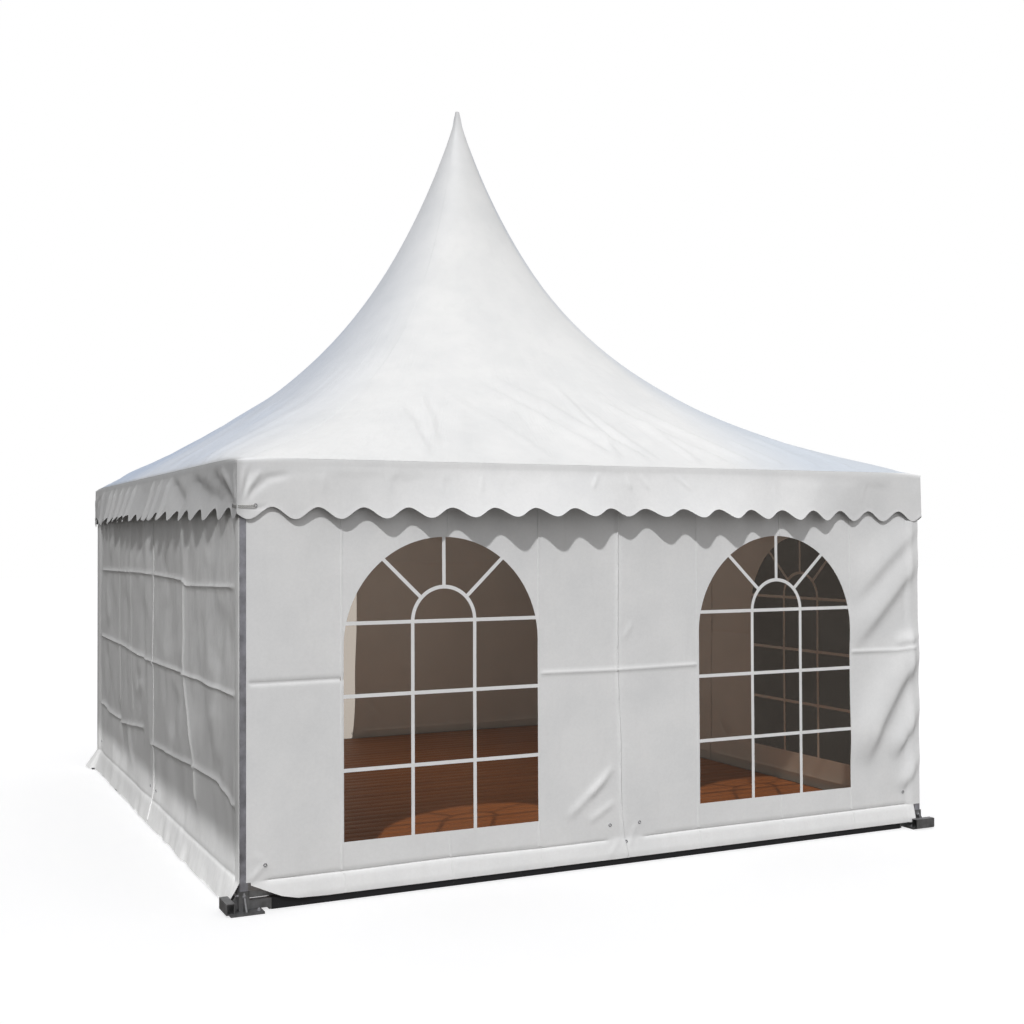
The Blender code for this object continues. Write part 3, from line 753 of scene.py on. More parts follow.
def timber(name):
    """Stained boards: grain along X and a tone for each board."""
    shader = Shader(name, 0.5)
    depth = shader.math("SUBTRACT", shader.axis("Y"), DECK_LOW.y)
    board = shader.math("FLOOR", shader.math("DIVIDE", depth, BOARD_PITCH))
    tone = shader.node("TexWhiteNoise", {"W": board}, noise_dimensions="1D").outputs["Value"]
    shift = shader.node("CombineXYZ", {"X": shader.times(tone, 7.0), "Z": board}).outputs[0]
    place = {0: shader.scaled((0.35, 9.0, 9.0)), 1: shift}
    place = shader.node("VectorMath", place, operation="ADD").outputs[0]
    grain = shader.noise(6.0, 8.0, 0.6, place)
    rings = shader.wave(1.6, "Y", place)
    figure = shader.math("ADD", shader.times(rings, 0.18), shader.times(grain, 0.82))
    stops = ((0.25, (0.35, 0.128, 0.038)), (0.5, (0.42, 0.16, 0.05)), (0.78, (0.47, 0.19, 0.064)))
    shade = shader.spread(tone, 0.0, 1.0, 0.92, 1.07)
    tint = shader.node("CombineColor", {0: shade, 1: shade, 2: shade}).outputs[0]
    shader.set("Base Color", shader.mix(1.0, shader.ramp(figure, stops), tint, "MULTIPLY"))
    shader.set("Roughness", shader.spread(figure, 0.2, 0.8, 0.62, 0.44))
    shader.set("Normal", shader.bump(figure, 0.0005))
    return shader.material


def clear_film(name, tint):
    """Tinted clear sheet: what lies behind shows through, with a weak gloss and some haze."""
    shader = Shader(name, 0.14)
    haze = shader.noise(1.7, 5.0, 0.6)
    shader.set("Base Color", shader.ramp(haze, ((0.3, (0.3, 0.29, 0.28)), (0.7, (0.4, 0.39, 0.37)))))
    ripples = shader.noise(2.2, 2.0, 0.4, shader.scaled((1.6, 1.6, 0.7)))
    shader.set("Normal", shader.bump(ripples, 0.03, 0.6))
    clear = shader.node("BsdfTransparent", {"Color": (*tint, 1.0)})
    facing = shader.node("LayerWeight", {"Blend": 0.5}).outputs["Facing"]
    gloss = shader.times(shader.math("POWER", facing, 4.0), 0.5)
    share = shader.math("ADD", gloss, shader.spread(haze, 0.2, 0.8, 0.03, 0.055))
    both = {0: share, 1: clear.outputs[0], 2: shader.main.outputs[0]}
    shader.show(shader.node("MixShader", both))
    return shader.material


def braid(name, colour):
    """Twisted cord: slanted strands."""
    shader = Shader(name, 0.8)
    strands = shader.wave(60.0, "DIAGONAL")
    shader.set("Base Color", shader.ramp(strands, ((0.2, shaded(colour, 0.6)), (0.8, colour))))
    shader.set("Normal", shader.bump(strands, 0.0008))
    return shader.material


# Roof

TIP_RADIUS = 0.021
# columns on the front, right, back and left side; the seen sides have finer folds
ROOF_COLUMNS = (252, 110, 64, 148)
ROOF_ROWS = 79
ROOF_HALVES = ROOF_HALF * (1 - np.arange(1, ROOF_ROWS) / ROOF_ROWS) ** 1.3
# folds: path as points along and away from the middle, height, width
ROOF_FOLDS = (
    # puckers that fan from the middle of the eave towards the peak
    (((0.03, 2.42), (-0.29, 1.63), (-0.57, 1.21)), 0.028, 0.032),
    (((0.28, 2.47), (-0.15, 1.53), (-0.45, 1.17)), 0.03, 0.032),
    (((-0.45, 2.44), (-0.58, 1.8), (-0.8, 1.3)), 0.014, 0.026),
    (((0.0, 2.44), (0.07, 1.86), (0.03, 1.26)), 0.016, 0.026),
    (((-1.16, 2.21), (-1.01, 1.8), (-0.9, 1.39)), 0.018, 0.03),
    (((-1.3, 2.42), (-1.15, 1.86), (-1.13, 1.48)), 0.022, 0.034),
    (((0.31, 2.42), (0.09, 1.48)), 0.018, 0.028),
    (((0.62, 2.45), (0.42, 1.62)), 0.017, 0.028),
    (((0.9, 2.47), (0.5, 1.85), (0.18, 1.32)), 0.02, 0.028),
    (((1.1, 2.47), (0.74, 1.9), (0.42, 1.42)), 0.017, 0.028),
    (((1.3, 2.45), (0.98, 1.92)), 0.014, 0.028),
    (((1.6, 2.45), (1.2, 1.8)), 0.014, 0.034),
    (((1.88, 2.43), (1.42, 1.8)), 0.014, 0.034),
)
LEFT_ROOF_FOLDS = (
    # a fan of long folds from the eave towards the peak
    (((-2.2, 2.5), (-1.2, 1.3)), 0.022, 0.04),
    (((-1.7, 2.48), (-0.95, 1.25)), 0.022, 0.036),
    (((-1.2, 2.5), (-0.65, 1.1)), 0.022, 0.036),
    (((-0.7, 2.48), (-0.4, 1.15)), 0.022, 0.036),
    (((-0.2, 2.5), (-0.1, 1.2)), 0.022, 0.036),
    (((0.4, 2.48), (0.22, 1.3)), 0.022, 0.036),
    (((0.8, 2.48), (0.45, 1.3)), 0.022, 0.036),
    (((1.2, 2.48), (0.75, 1.4)), 0.022, 0.04),
    (((1.6, 2.48), (1.05, 1.5)), 0.022, 0.04),
    (((2.0, 2.48), (1.45, 1.75)), 0.019, 0.044),
)


def roof_shares(k):
    """Places across one side of the roof, from -1 to 1, closer together at the hips."""
    t = np.linspace(-1, 1, ROOF_COLUMNS[k] + 1)[:-1]
    return 0.65 * t + 0.35 * np.sin(pi / 2 * t)


def hip_height(s):
    """Height of the roof where its square plan has half width s."""
    left = np.maximum(0, 1 - s / ROOF_HALF)
    fall = np.exp(-s / HIP_LENGTH) - np.exp(-ROOF_HALF / HIP_LENGTH)
    return EAVE_Z + HIP_DROP * fall + HIP_SLOPE * left ** HIP_POWER


def roundness(s):
    """Roundness of the plan at half width s: 0 is a square and 1/2 is a circle."""
    return 0.5 * np.maximum(0, 1 - s / ROOF_HALF) ** ROUND_POWER


def round_half(s, f):
    """Distance of the roof from the centre plane where x = f y."""
    e = np.maximum(roundness(s), 0.001)
    power = 1 / (1 - e)
    across = (cos(EVEN_TURN) ** power + sin(EVEN_TURN) ** power) ** (1 - e)
    reach = (cos(EVEN_TURN) + sin(EVEN_TURN)) / across
    return s * reach * (1 + np.abs(f) ** (1 / e)) ** -e


def roof_relief(k, f, s):
    """Soft tension folds of the roof cloth, outwards."""
    x = f * s
    tall = eased((ROOF_HALF - s) / 0.25) * eased(s / 0.5)
    rise = 0.0034 * value_noise(f * 15 + 40 * k, s / 0.9, 5) * tall * eased((s - 0.7) / 0.8)
    rise += 0.005 * value_noise(x / 0.55 + 9 * k, s / 1.1 + 3, 6) * tall
    for path, height, width in LEFT_ROOF_FOLDS if k == 3 else ROOF_FOLDS:
        path = [((-x0 if k in (1, 2) else x0), s0) for x0, s0 in path]
        rise += fold(x, s, path, height, width * 1.5 if k in (1, 2) else width, 0.24)
    rng = np.random.default_rng(70 + k)
    for _ in range(22):
        x0, size = rng.uniform(-2.35, 2.35), rng.uniform(0.12, 0.42)
        lean = rng.uniform(-0.3, 0.3) - 0.12 * x0
        rise += fold(x, s, [(x0, 2.6), (x0 + lean * size, 2.56 - size)], rng.uniform(0.0015, 0.004),
                     rng.uniform(0.02, 0.045), 0.45)
    for side in (-1, 1):
        for spread in (0.1, 0.24, 0.4, 0.6):
            path = [(side * 2.5, 2.55), (side * (1.75 - spread * 1.1), 1.75)]
            rise += fold(x, s, path, 0.006, 0.035 + 0.03 * spread, 0.4)
    return rise * eased((ROOF_HALF - 0.055 - s) / 0.08)


def lip_curve(f, t):
    """Rounded edge from the upright lip, t = 0, to the first of the roof's rows, t = 1."""
    d1, d2 = (round_half(half, f) for half in ROOF_HALVES[:2])
    z1, z2 = hip_height(ROOF_HALVES[:2])
    bend = z1 - (ROOF_HALF - d1) * (z2 - z1) / np.maximum(d1 - d2, 0.01)
    half = ROOF_HALF - (ROOF_HALF - d1) * t ** 2
    return half, (1 - t) ** 2 * LIP_HIGH + 2 * t * (1 - t) * bend + t ** 2 * z1


def make_roof(material):
    """One sheet over the whole tent, with its folds and a turned-down rounded lip."""
    points, rise = [], []
    for k in range(4):
        f = roof_shares(k)
        rows = [(ROOF_HALF, LIP_LOW), (ROOF_HALF, LIP_LOW + 0.018)]
        rows += [lip_curve(f, t) for t in (0.0, 0.2, 0.4, 0.6, 0.8)]
        flat_rows = len(rows)
        blunt = TIP_RADIUS * eased((0.22 - ROOF_HALVES) / 0.14)
        rows += [(np.hypot(round_half(s, f), b), hip_height(s)) for s, b in zip(ROOF_HALVES, blunt)]
        rows.append((round_half(TIP_RADIUS * 0.6, f), PEAK_Z - 0.0015))
        points.append([side_place(k, f * half, half, z) for half, z in rows])
        lifts = [roof_relief(k, f, np.full(len(f), s)) for s in ROOF_HALVES]
        rise.append([0 * f] * flat_rows + lifts + [0 * f])
    points = np.concatenate([np.concatenate(row) for row in zip(*points)] + [[[0.0, 0.0, PEAK_Z]]])
    rise = np.concatenate([np.concatenate(row) for row in zip(*rise)] + [[0.0]])
    size = sum(ROOF_COLUMNS)
    top = len(points) - 1 - size
    faces = grid_faces(size, top // size + 1, closed=True)
    faces += [(top + i, top + (i + 1) % size, top + size) for i in range(size)]
    points += normals_of(points, faces) * rise[:, None]
    roof = sheet_piece("roof_sheet", points, faces, ROOF_CLOTH, material, "roof_fabric", ["roof_canopy"], 60)
    return roof, surface_area(points, faces)


# Band below the eave

BAND_COLUMNS = 520
BAND_ROWS = 26
# rows of the band that lie on the roof's rounded lip: share of the lip's curve, and distance outside it
BAND_LIP = ((1.0, -0.002), (0.93, 0.0006), (0.75, 0.0016), (0.5, 0.0026), (0.25, 0.004), (0.0, 0.0052))
# how far the lower part of a band stands out, at places along the front and the other sides
FRONT_STAND = ((-2.535, -2.28, -1.95, -1.65, -1.3, -0.75, -0.2, 0.05, 0.36, 0.63, 0.9, 1.13, 1.44, 1.7,
                1.95, 2.3, 2.535),
               (0.0, 0.003, 0.012, 0.04, 0.075, 0.118, 0.105, 0.067, 0.101, 0.112, 0.1, 0.072, 0.067, 0.022,
                -0.004, -0.006, 0.0))
OTHER_STAND = ((-2.535, -2.2, -1.7, -1.1, -0.5, 0.1, 0.7, 1.3, 1.8, 2.2, 2.535),
               (0.0, 0.02, 0.055, 0.075, 0.092, 0.08, 0.092, 0.07, 0.05, 0.018, 0.0))


def hem_height(a):
    """Height of the scalloped hem, which waves less and hangs higher in the middle."""
    phase = 2 * pi * (a - SCALLOP_CREST) / SCALLOP_PITCH
    middle = eased(1 - np.abs(a + 0.1) / 2.3)
    return SCALLOP_MID - 0.006 + 0.014 * middle + (SCALLOP_SWING - 0.002 - 0.01 * middle) * np.cos(phase)


# folds: path as (a, z) points, height, width, share that fades at the ends, width of the gentle side
CORNER_FOLDS = (
    # near a corner: the cloth is pulled down to the lace
    (((-2.515, 2.29), (-2.446, 2.369), (-2.357, 2.44), (-2.2, 2.475)), -0.0065, 0.024, 0.25),
    (((-2.505, 2.305), (-2.455, 2.4), (-2.39, 2.5)), 0.006, 0.016, 0.2),
    (((-2.515, 2.3), (-2.48, 2.42), (-2.45, 2.53)), -0.006, 0.012, 0.15),
    (((-2.52, 2.31), (-2.505, 2.42), (-2.49, 2.535)), 0.005, 0.01, 0.15),
    (((-2.48, 2.262), (-2.42, 2.272), (-2.36, 2.276)), -0.004, 0.009, 0.2),
    (((-2.3, 2.51), (-1.9, 2.5), (-1.5, 2.51)), 0.004, 0.03, 0.3),
)
SIDE_CORNER_FOLDS = (
    # the same at the front end of the left side
    (((2.5, 2.305), (2.29, 2.35), (2.1, 2.42), (1.96, 2.525)), -0.024, 0.056, 0.25, 0.11),
    (((2.3, 2.3), (2.0, 2.34), (1.68, 2.405), (1.4, 2.505)), -0.023, 0.056, 0.25, 0.11),
    (((1.42, 2.31), (1.2, 2.37), (1.0, 2.435), (0.83, 2.515)), -0.022, 0.052, 0.25, 0.1),
    (((2.15, 2.53), (2.34, 2.43), (2.48, 2.32)), 0.012, 0.03, 0.2),
    (((2.47, 2.53), (2.485, 2.4), (2.51, 2.3)), 0.01, 0.014, 0.15),
)
# places along the left side of its band's upright pleats
SIDE_PLEATS = (0.777, 0.464, 0.187, -0.514, -0.8, -1.098, -1.4, -1.627, -2.05)


def band_relief(k, a, z):
    """Folds of the hanging band, outwards."""
    rise = 0.002 * value_noise(a / 0.12 + 31 * k, z / 0.5, 11)
    rise = rise + 0.004 * value_noise(a / 0.35 + 7 * k, z / 0.4, 12)
    rise *= eased((BAND_TOP - z) / 0.1)
    rng = np.random.default_rng(90 + k)
    for _ in range(16):
        x0, size = rng.uniform(-2.2, 2.2), rng.uniform(0.08, 0.2)
        path = [(x0, BAND_TOP), (x0 + rng.uniform(-0.06, 0.06), BAND_TOP - size)]
        rise += fold(a, z, path, rng.uniform(0.001, 0.003), rng.uniform(0.012, 0.024), 0.4)
    for side in (-1,) if k == 0 else (-1, 1):
        folds = SIDE_CORNER_FOLDS if k == 3 and side > 0 else CORNER_FOLDS
        flip = side if folds is SIDE_CORNER_FOLDS else -side
        for path, *sizes in folds:
            rise += fold(a, z, [(flip * x0, z0) for x0, z0 in path], *sizes)
    if k == 3:
        for x0 in SIDE_PLEATS:
            rise += fold(a, z, [(x0, 2.53), (x0 + 0.04, 2.2)], 0.021, 0.026, 0.12, 0.05)
    if k == 0:
        for x0, lean in ((-0.16, -0.1), (0.02, 0.03), (0.1, 0.09), (0.36, 0.16)):
            rise += fold(a, z, [(x0, 2.545), (x0 + lean, 2.39)], 0.006, 0.014, 0.3)
    return rise


def band_place(k, a, z, lift=0.0):
    """World places on the band's outer face below the eave."""
    stand = curve_through(*(FRONT_STAND if k == 0 else OTHER_STAND), a)
    drop = (BAND_TOP - z) / (BAND_TOP - SCALLOP_MID)
    depth = BAND_FACE + stand * np.maximum(drop, 0) ** 1.25 + band_relief(k, a, z) * np.clip(drop * 4, 0, 1)
    depth = np.maximum(depth, POST_FACE + 0.006) + lift
    ends = eased((np.abs(a) / BAND_FACE - 0.985) / 0.015)
    depth = depth * (1 - ends) + (BAND_FACE + 0.003 * drop + lift) * ends
    return side_place(k, a * (1 + (depth / BAND_FACE - 1) * ends), depth, z)


def make_band(k, material):
    """Scalloped band along one side, from the rounded lip of the roof to its bound hem."""
    t = np.linspace(-1, 1, BAND_COLUMNS + 1)
    edge = t * (BAND_FACE - 0.001)
    lapped = []
    for share, out in BAND_LIP:
        half, z = lip_curve(t, share)
        half = half + out
        lapped.append(side_place(k, t * half, half, z + 0.6 * out))
    a = np.repeat(edge[None, :], BAND_ROWS + 1, axis=0)
    down = np.linspace(0, 1, BAND_ROWS + 1)[:, None]
    z = hem_height(a) + (BAND_TOP - hem_height(a)) * (1 - down)
    hem = (1 - down) * (BAND_TOP - hem_height(a))
    bound = 0.001 * eased((0.016 - hem) / 0.003)
    points = np.concatenate(lapped + [band_place(k, a.ravel(), z.ravel(), bound.ravel())])
    rows = BAND_ROWS + 1 + len(lapped)
    faces = [tuple(reversed(f)) for f in grid_faces(BAND_COLUMNS + 1, rows)]
    nodes = [f"valance_{SIDES[k]}"]
    return sheet_piece(f"band_{SIDES[k]}", points, faces, BAND_CLOTH, material, "band_fabric", nodes)


# Walls

FRONT_FOLDS = (
    # right strip: slanting folds from the corner post
    (((1.88, 1.62), (2.18, 1.9), (2.46, 2.13), (2.76, 2.38)), 0.02, 0.055, 0.3, 0.14),
    (((1.86, 1.27), (2.47, 1.88), (2.76, 2.16)), 0.028, 0.055, 0.3, 0.14),
    (((1.98, 0.44), (2.14, 0.77), (2.32, 1.04), (2.49, 1.23), (2.7, 1.42)), 0.047, 0.062, 0.25, 0.16),
    (((2.26, 0.48), (2.36, 0.62), (2.49, 0.82), (2.64, 1.05)), 0.031, 0.036, 0.28, 0.09),
    (((2.34, 0.25), (2.46, 0.42), (2.6, 0.62)), 0.021, 0.026, 0.28, 0.06),
    (((2.28, 1.33), (2.44, 1.35), (2.6, 1.41)), 0.012, 0.022, 0.3, 0.05),
    # by the mid joint
    (((-0.05, 0.64), (-0.26, 0.43)), 0.007, 0.022, 0.25),
    (((-0.08, 0.59), (-0.42, 0.31)), 0.008, 0.026, 0.25),
    (((-0.04, 0.41), (-0.26, 0.28)), 0.006, 0.02, 0.25),
    (((0.115, 0.26), (0.045, 0.09)), 0.005, 0.012, 0.25),
    (((-0.015, 0.17), (-0.11, 0.055)), 0.005, 0.012, 0.25),
    (((0.1, 1.56), (0.01, 1.43)), 0.004, 0.014, 0.3),
    # near left corner
    (((-2.365, 0.265), (-2.46, 0.17)), 0.006, 0.014, 0.2),
    (((-2.44, 0.34), (-2.3, 0.19)), 0.004, 0.02, 0.3),
)
# creases: path as (a, z) points, height, width
FRONT_CREASES = (
    # packing crease at mid height, pushed in at the left and standing out in the middle
    (((-2.47, 1.28), (-1.86, 1.279)), -0.0068, 0.01),
    (((-0.6, 1.25), (-0.02, 1.245), (0.61, 1.253)), 0.006, 0.01),
    (((1.9, 1.284), (2.325, 1.28), (2.49, 1.3)), 0.0068, 0.011),
    # skirt seam
    (((-2.4, 0.168), (-1.84, 0.16), (-1.21, 0.166), (-0.59, 0.157), (-0.08, 0.158)), -0.0065, 0.006),
    (((0.13, 0.156), (0.6, 0.161), (1.4, 0.16), (2.44, 0.164)), -0.0065, 0.006),
)
LEFT_FOLDS = (
    # soft swellings between the creases
    (((2.4, 2.4), (2.4, 1.36), (2.38, 0.6), (2.33, 0.25)), 0.008, 0.04, 0.1),
    (((1.0, 2.4), (1.05, 1.84), (1.09, 1.18), (1.24, 0.93), (1.39, 0.64), (1.46, 0.3)), 0.01, 0.07, 0.1),
    (((-0.26, 2.4), (-0.16, 1.84), (-0.25, 1.51), (-0.22, 1.17), (-0.1, 0.59), (-0.02, 0.2)),
     0.012, 0.08, 0.1),
    (((-1.53, 0.71), (-1.28, 0.33)), -0.015, 0.06, 0.25),
    (((-0.72, 0.88), (-0.35, 1.0)), 0.012, 0.05, 0.3),
    (((2.05, 1.75), (1.85, 1.25)), -0.014, 0.14, 0.3),
    (((0.45, 1.72), (0.55, 1.26)), -0.014, 0.16, 0.3),
    (((1.85, 1.12), (1.95, 0.7)), 0.012, 0.12, 0.3),
    (((0.75, 1.1), (0.62, 0.68)), -0.014, 0.14, 0.3),
    (((1.75, 2.3), (1.65, 1.9)), 0.01, 0.12, 0.3),
    (((0.5, 2.3), (0.35, 1.9)), 0.01, 0.12, 0.3),
    (((-1.2, 1.7), (-1.15, 1.28)), -0.012, 0.12, 0.3),
    (((-0.6, 1.12), (-0.5, 0.7)), -0.012, 0.1, 0.3),
    (((-2.1, 1.15), (-1.9, 0.75)), -0.013, 0.09, 0.3),
    (((-1.95, 2.25), (-1.8, 1.9)), 0.011, 0.09, 0.3),
    (((-0.62, 2.25), (-0.55, 1.9)), -0.011, 0.09, 0.3),
    (((-1.05, 0.62), (-0.75, 0.28)), 0.013, 0.06, 0.3),
    (((-2.05, 1.75), (-1.95, 1.32)), 0.013, 0.08, 0.3),
)
LEFT_CREASES = (
    (((-2.42, 1.816), (-0.31, 1.838), (1.05, 1.82), (1.13, 1.788), (2.45, 1.822)), 0.011, 0.013),
    (((-2.42, 1.224), (-1.54, 1.214), (-0.94, 1.206), (-0.25, 1.184), (1.09, 1.198), (2.45, 1.195)),
     0.0125, 0.013),
    (((-0.1, 0.571), (0.7, 0.6), (1.35, 0.636), (1.92, 0.637), (2.45, 0.57)), 0.013, 0.015),
    (((-2.42, 0.61), (-1.29, 0.567), (-0.3, 0.655)), 0.0125, 0.015),
    (((1.05, 1.84), (1.07, 1.5), (1.09, 1.18), (1.24, 0.93), (1.39, 0.64), (1.44, 0.4)), 0.01, 0.012),
    (((-0.89, 2.3), (-0.91, 1.6), (-0.89, 1.21), (-0.8, 0.7)), 0.006, 0.012),
    (((-1.52, 2.3), (-1.5, 1.8), (-1.48, 1.23), (-1.42, 0.7)), 0.007, 0.012),
    (((-2.5, 0.17), (2.46, 0.17)), -0.005, 0.01),
)
SIDE_FOLDS = (
    (((2.43, 2.1), (1.95, 1.6)), 0.009, 0.03, 0.15),
    (((-2.43, 1.9), (-1.95, 1.42)), 0.009, 0.03, 0.15),
    (((2.45, 1.1), (2.05, 0.62)), 0.01, 0.034, 0.15),
    (((-2.45, 0.95), (-2.1, 0.55)), 0.008, 0.03, 0.15),
    (((0.08, 0.6), (0.34, 0.33)), 0.007, 0.024, 0.25),
    (((-0.08, 0.52), (-0.3, 0.3)), 0.006, 0.022, 0.25),
)
SIDE_CREASES = (
    (((-2.47, 1.262), (-1.9, 1.258)), 0.004, 0.012),
    (((-0.6, 1.255), (0.6, 1.25)), 0.004, 0.012),
    (((1.9, 1.262), (2.47, 1.268)), -0.004, 0.012),
    (((-2.44, 0.165), (-0.06, 0.16)), -0.005, 0.008),
    (((0.06, 0.16), (2.44, 0.165)), -0.005, 0.008),
)
BACK_CREASES = (
    (((-2.47, 1.262), (-0.04, 1.255)), 0.004, 0.012),
    (((-2.47, 1.85), (-0.04, 1.845)), -0.004, 0.012),
    (((-2.44, 0.165), (-0.06, 0.16)), -0.005, 0.008),
)
WALL_FOLDS = (FRONT_FOLDS, SIDE_FOLDS, SIDE_FOLDS, LEFT_FOLDS)
WALL_CREASES = (FRONT_CREASES, SIDE_CREASES, BACK_CREASES, LEFT_CREASES)
# share of the loose waviness on each side, and the size of its cells along and up
WALL_WAVES = ((0.0016, 0.5, 0.6), (0.0028, 0.42, 0.5), (0.0035, 0.35, 0.45), (0.011, 0.3, 0.36))
# the mid joint from the ground up: heights, and where the sheet that lies on top ends
JOINT_PATH = ((0.0, 0.17, 0.42, 0.76, 1.26, 1.67, 2.1, 2.46),
              (0.046, 0.02, 0.0, -0.002, -0.02, -0.019, -0.015, -0.012))
# where a sheet ends at the corner if it covers part of the post
SHEET_EDGES = {(0, -1): 2.479, (0, 1): 2.512, (3, -1): 2.512, (3, 1): 2.512}


def skirt_reach(k, a, z):
    """How far a wall's skirt stands out, softly curved on the left side."""
    low, reach = (0.004, 0.056) if k == 3 else (0.066, 0.0226)
    top = 0.105 if k == 2 else SKIRT_TOP
    skirt = reach * np.clip((top - z) / (top - low), 0, 1)
    if k == 3:
        soft = reach * np.clip((FLARE_TOP - z) / (FLARE_TOP - low), 0, 1) ** 1.7
        skirt = skirt + (soft - skirt) * eased((2.5 - np.abs(a)) / 0.45)
    return skirt


def post_cover(k, a):
    """Share by which a sheet comes out over its corner post."""
    if k == 3:
        return eased((np.abs(a) - WRAP_START) / WRAP)
    if k == 0:
        return np.maximum(eased((a - WRAP_START) / WRAP), eased((-a - SOFT_WRAP_START) / SOFT_WRAP))
    return 0.0


def wall_depth(k, a, z):
    """Distance of a wall's outer face from the centre plane."""
    skirt = skirt_reach(k, a, z)
    depth = WALL_FACE + skirt
    size, along, up = WALL_WAVES[k]
    calm = eased((WALL_EDGE - np.abs(a)) / 0.14) * eased((WALL_TOP - z) / 0.12)
    calm = calm * (0.35 + 0.65 * eased((z - 0.1) / 0.2))
    waves = value_noise(a / along + 13 * k, z / up, 20 + k)
    waves = waves + 0.45 * value_noise(a / along * 2.3, z / up * 1.7, 40 + k)
    depth = depth + size * waves * calm
    outer = post_cover(k, a)
    over_post = POST_FACE + 0.0045 + skirt
    depth = depth + (over_post - depth) * outer
    tight = 1 - 0.7 * eased((a - 2.42) / 0.08) if k == 0 else 1.0
    for entry in WALL_FOLDS[k]:
        depth = depth + fold(a, z, *entry) * tight
    depth = depth * (1 - outer) + np.maximum(depth, over_post) * outer
    if k == 3:
        flare = np.clip((SKIRT_TOP - z) / SKIRT_TOP, 0, 1)
        swing = 0.032 * eased((-a - 2.36) / 0.12) + 0.01 * value_noise(a / 0.13, z / 0.4, 66)
        depth = depth + swing * flare
    for path, height, width in WALL_CREASES[k]:
        depth = depth + fold(a, z, path, height, width, 0.03)
    return depth


def joint_place(z):
    """Where the sheet that lies on top ends, at each height."""
    return curve_through(*JOINT_PATH, z)


def joint_points(heights, shift=0.0):
    """Points along the mid joint."""
    return [(float(joint_place(z)) + shift, float(z)) for z in heights]


def lap(k, right_half, a, z):
    """The sheet on the left lies over the other at the mid joint, with a rolled edge."""
    away = a - joint_place(z)
    if right_half:
        reach = 0.004 if k == 3 else 0.03
        return -0.0045 * eased((reach - away) / (reach + 0.01))
    return 0.0 * away if k == 3 else 0.0078 * np.exp(-((away + 0.008) / 0.008) ** 2)


def arch_angle(z):
    """Angle on the window's arch at height z, seen from its centre."""
    return asin((z - WINDOW_ARCH) / WINDOW_HALF)


def arch_hit(angle, shift):
    """Angle on the window's arch where a line parallel to a fan bar meets it."""
    dx, dz = cos(angle), sin(angle)
    ox, oz = -dz * shift, BAR_ROWS[2] + dx * shift - WINDOW_ARCH
    b = ox * dx + oz * dz
    t = -b + sqrt(b * b - (ox * ox + oz * oz - WINDOW_HALF ** 2))
    return atan2(oz + t * dz, ox + t * dx)


def window_panes(centre):
    """Outlines of the panes between the glazing bars."""
    half = BAR / 2
    columns = ((-WINDOW_HALF, -BAR_COLUMN - half), (half - BAR_COLUMN, BAR_COLUMN - half),
               (BAR_COLUMN + half, WINDOW_HALF))
    rows = ((WINDOW_LOW, BAR_ROWS[0] - half), (BAR_ROWS[0] + half, BAR_ROWS[1] - half),
            (BAR_ROWS[1] + half, BAR_ROWS[2] - half))
    panes = []
    for row, (z0, z1) in enumerate(rows):
        for column, (a0, a1) in enumerate(columns):
            pane = [(a0, z0), (a1, z0), (a1, z1), (a0, z1)]
            if row == 2 and column == 2:
                pane = [(a0, z0), (a1, z0)] + arc(0, WINDOW_ARCH, WINDOW_HALF, 0, arch_angle(z1), 6)
                pane.append((a0, z1))
            if row == 2 and column == 0:
                pane = [(a0, z0), (a1, z0), (a1, z1)]
                pane += arc(0, WINDOW_ARCH, WINDOW_HALF, pi - arch_angle(z1), pi, 6)
            panes.append(pane)
    sill = BAR_ROWS[2] + half
    inner = FAN_RADIUS - half
    lift = asin(half / inner)
    panes.append(arc(0, BAR_ROWS[2], inner, lift, pi - lift, 24))
    outer = FAN_RADIUS + half
    edges = (0.0, FAN_TILT, pi / 2, pi - FAN_TILT, pi)
    for i in range(4):
        left, right = edges[i + 1], edges[i]
        start = asin(half / outer)
        low = arch_angle(sill) if i == 0 else arch_hit(right, half)
        high = pi - arch_angle(sill) if i == 3 else arch_hit(left, -half)
        pane = arc(0, WINDOW_ARCH, WINDOW_HALF, low, high, 14)
        pane += arc(0, BAR_ROWS[2], outer, left - start, right + start, 8)
        panes.append(pane)
    return [[(centre + x, z) for x, z in pane] for pane in panes]


def wall_hem(k, sign):
    """Hem of one wall sheet from the corner to the mid joint, as (a, z) points."""
    if k == 3 and sign > 0:
        return [(2.48, 0.11), (2.445, 0.06), (2.39, 0.012), (2.36, 0.006), (0.0, 0.005)]
    if k == 3:
        return [(-2.56, 0.06), (-2.59, 0.016), (-2.575, 0.006), (0.0, 0.005)]
    if k == 0 and sign < 0:
        return [(-SKIRT_EDGE, 0.15), (-2.38, 0.118), (-2.28, 0.075), (-2.18, 0.052), (-2.0, 0.043),
                (0.0, HEM_Z)]
    return [(sign * SKIRT_EDGE, HEM_Z), (0.0, HEM_Z)]


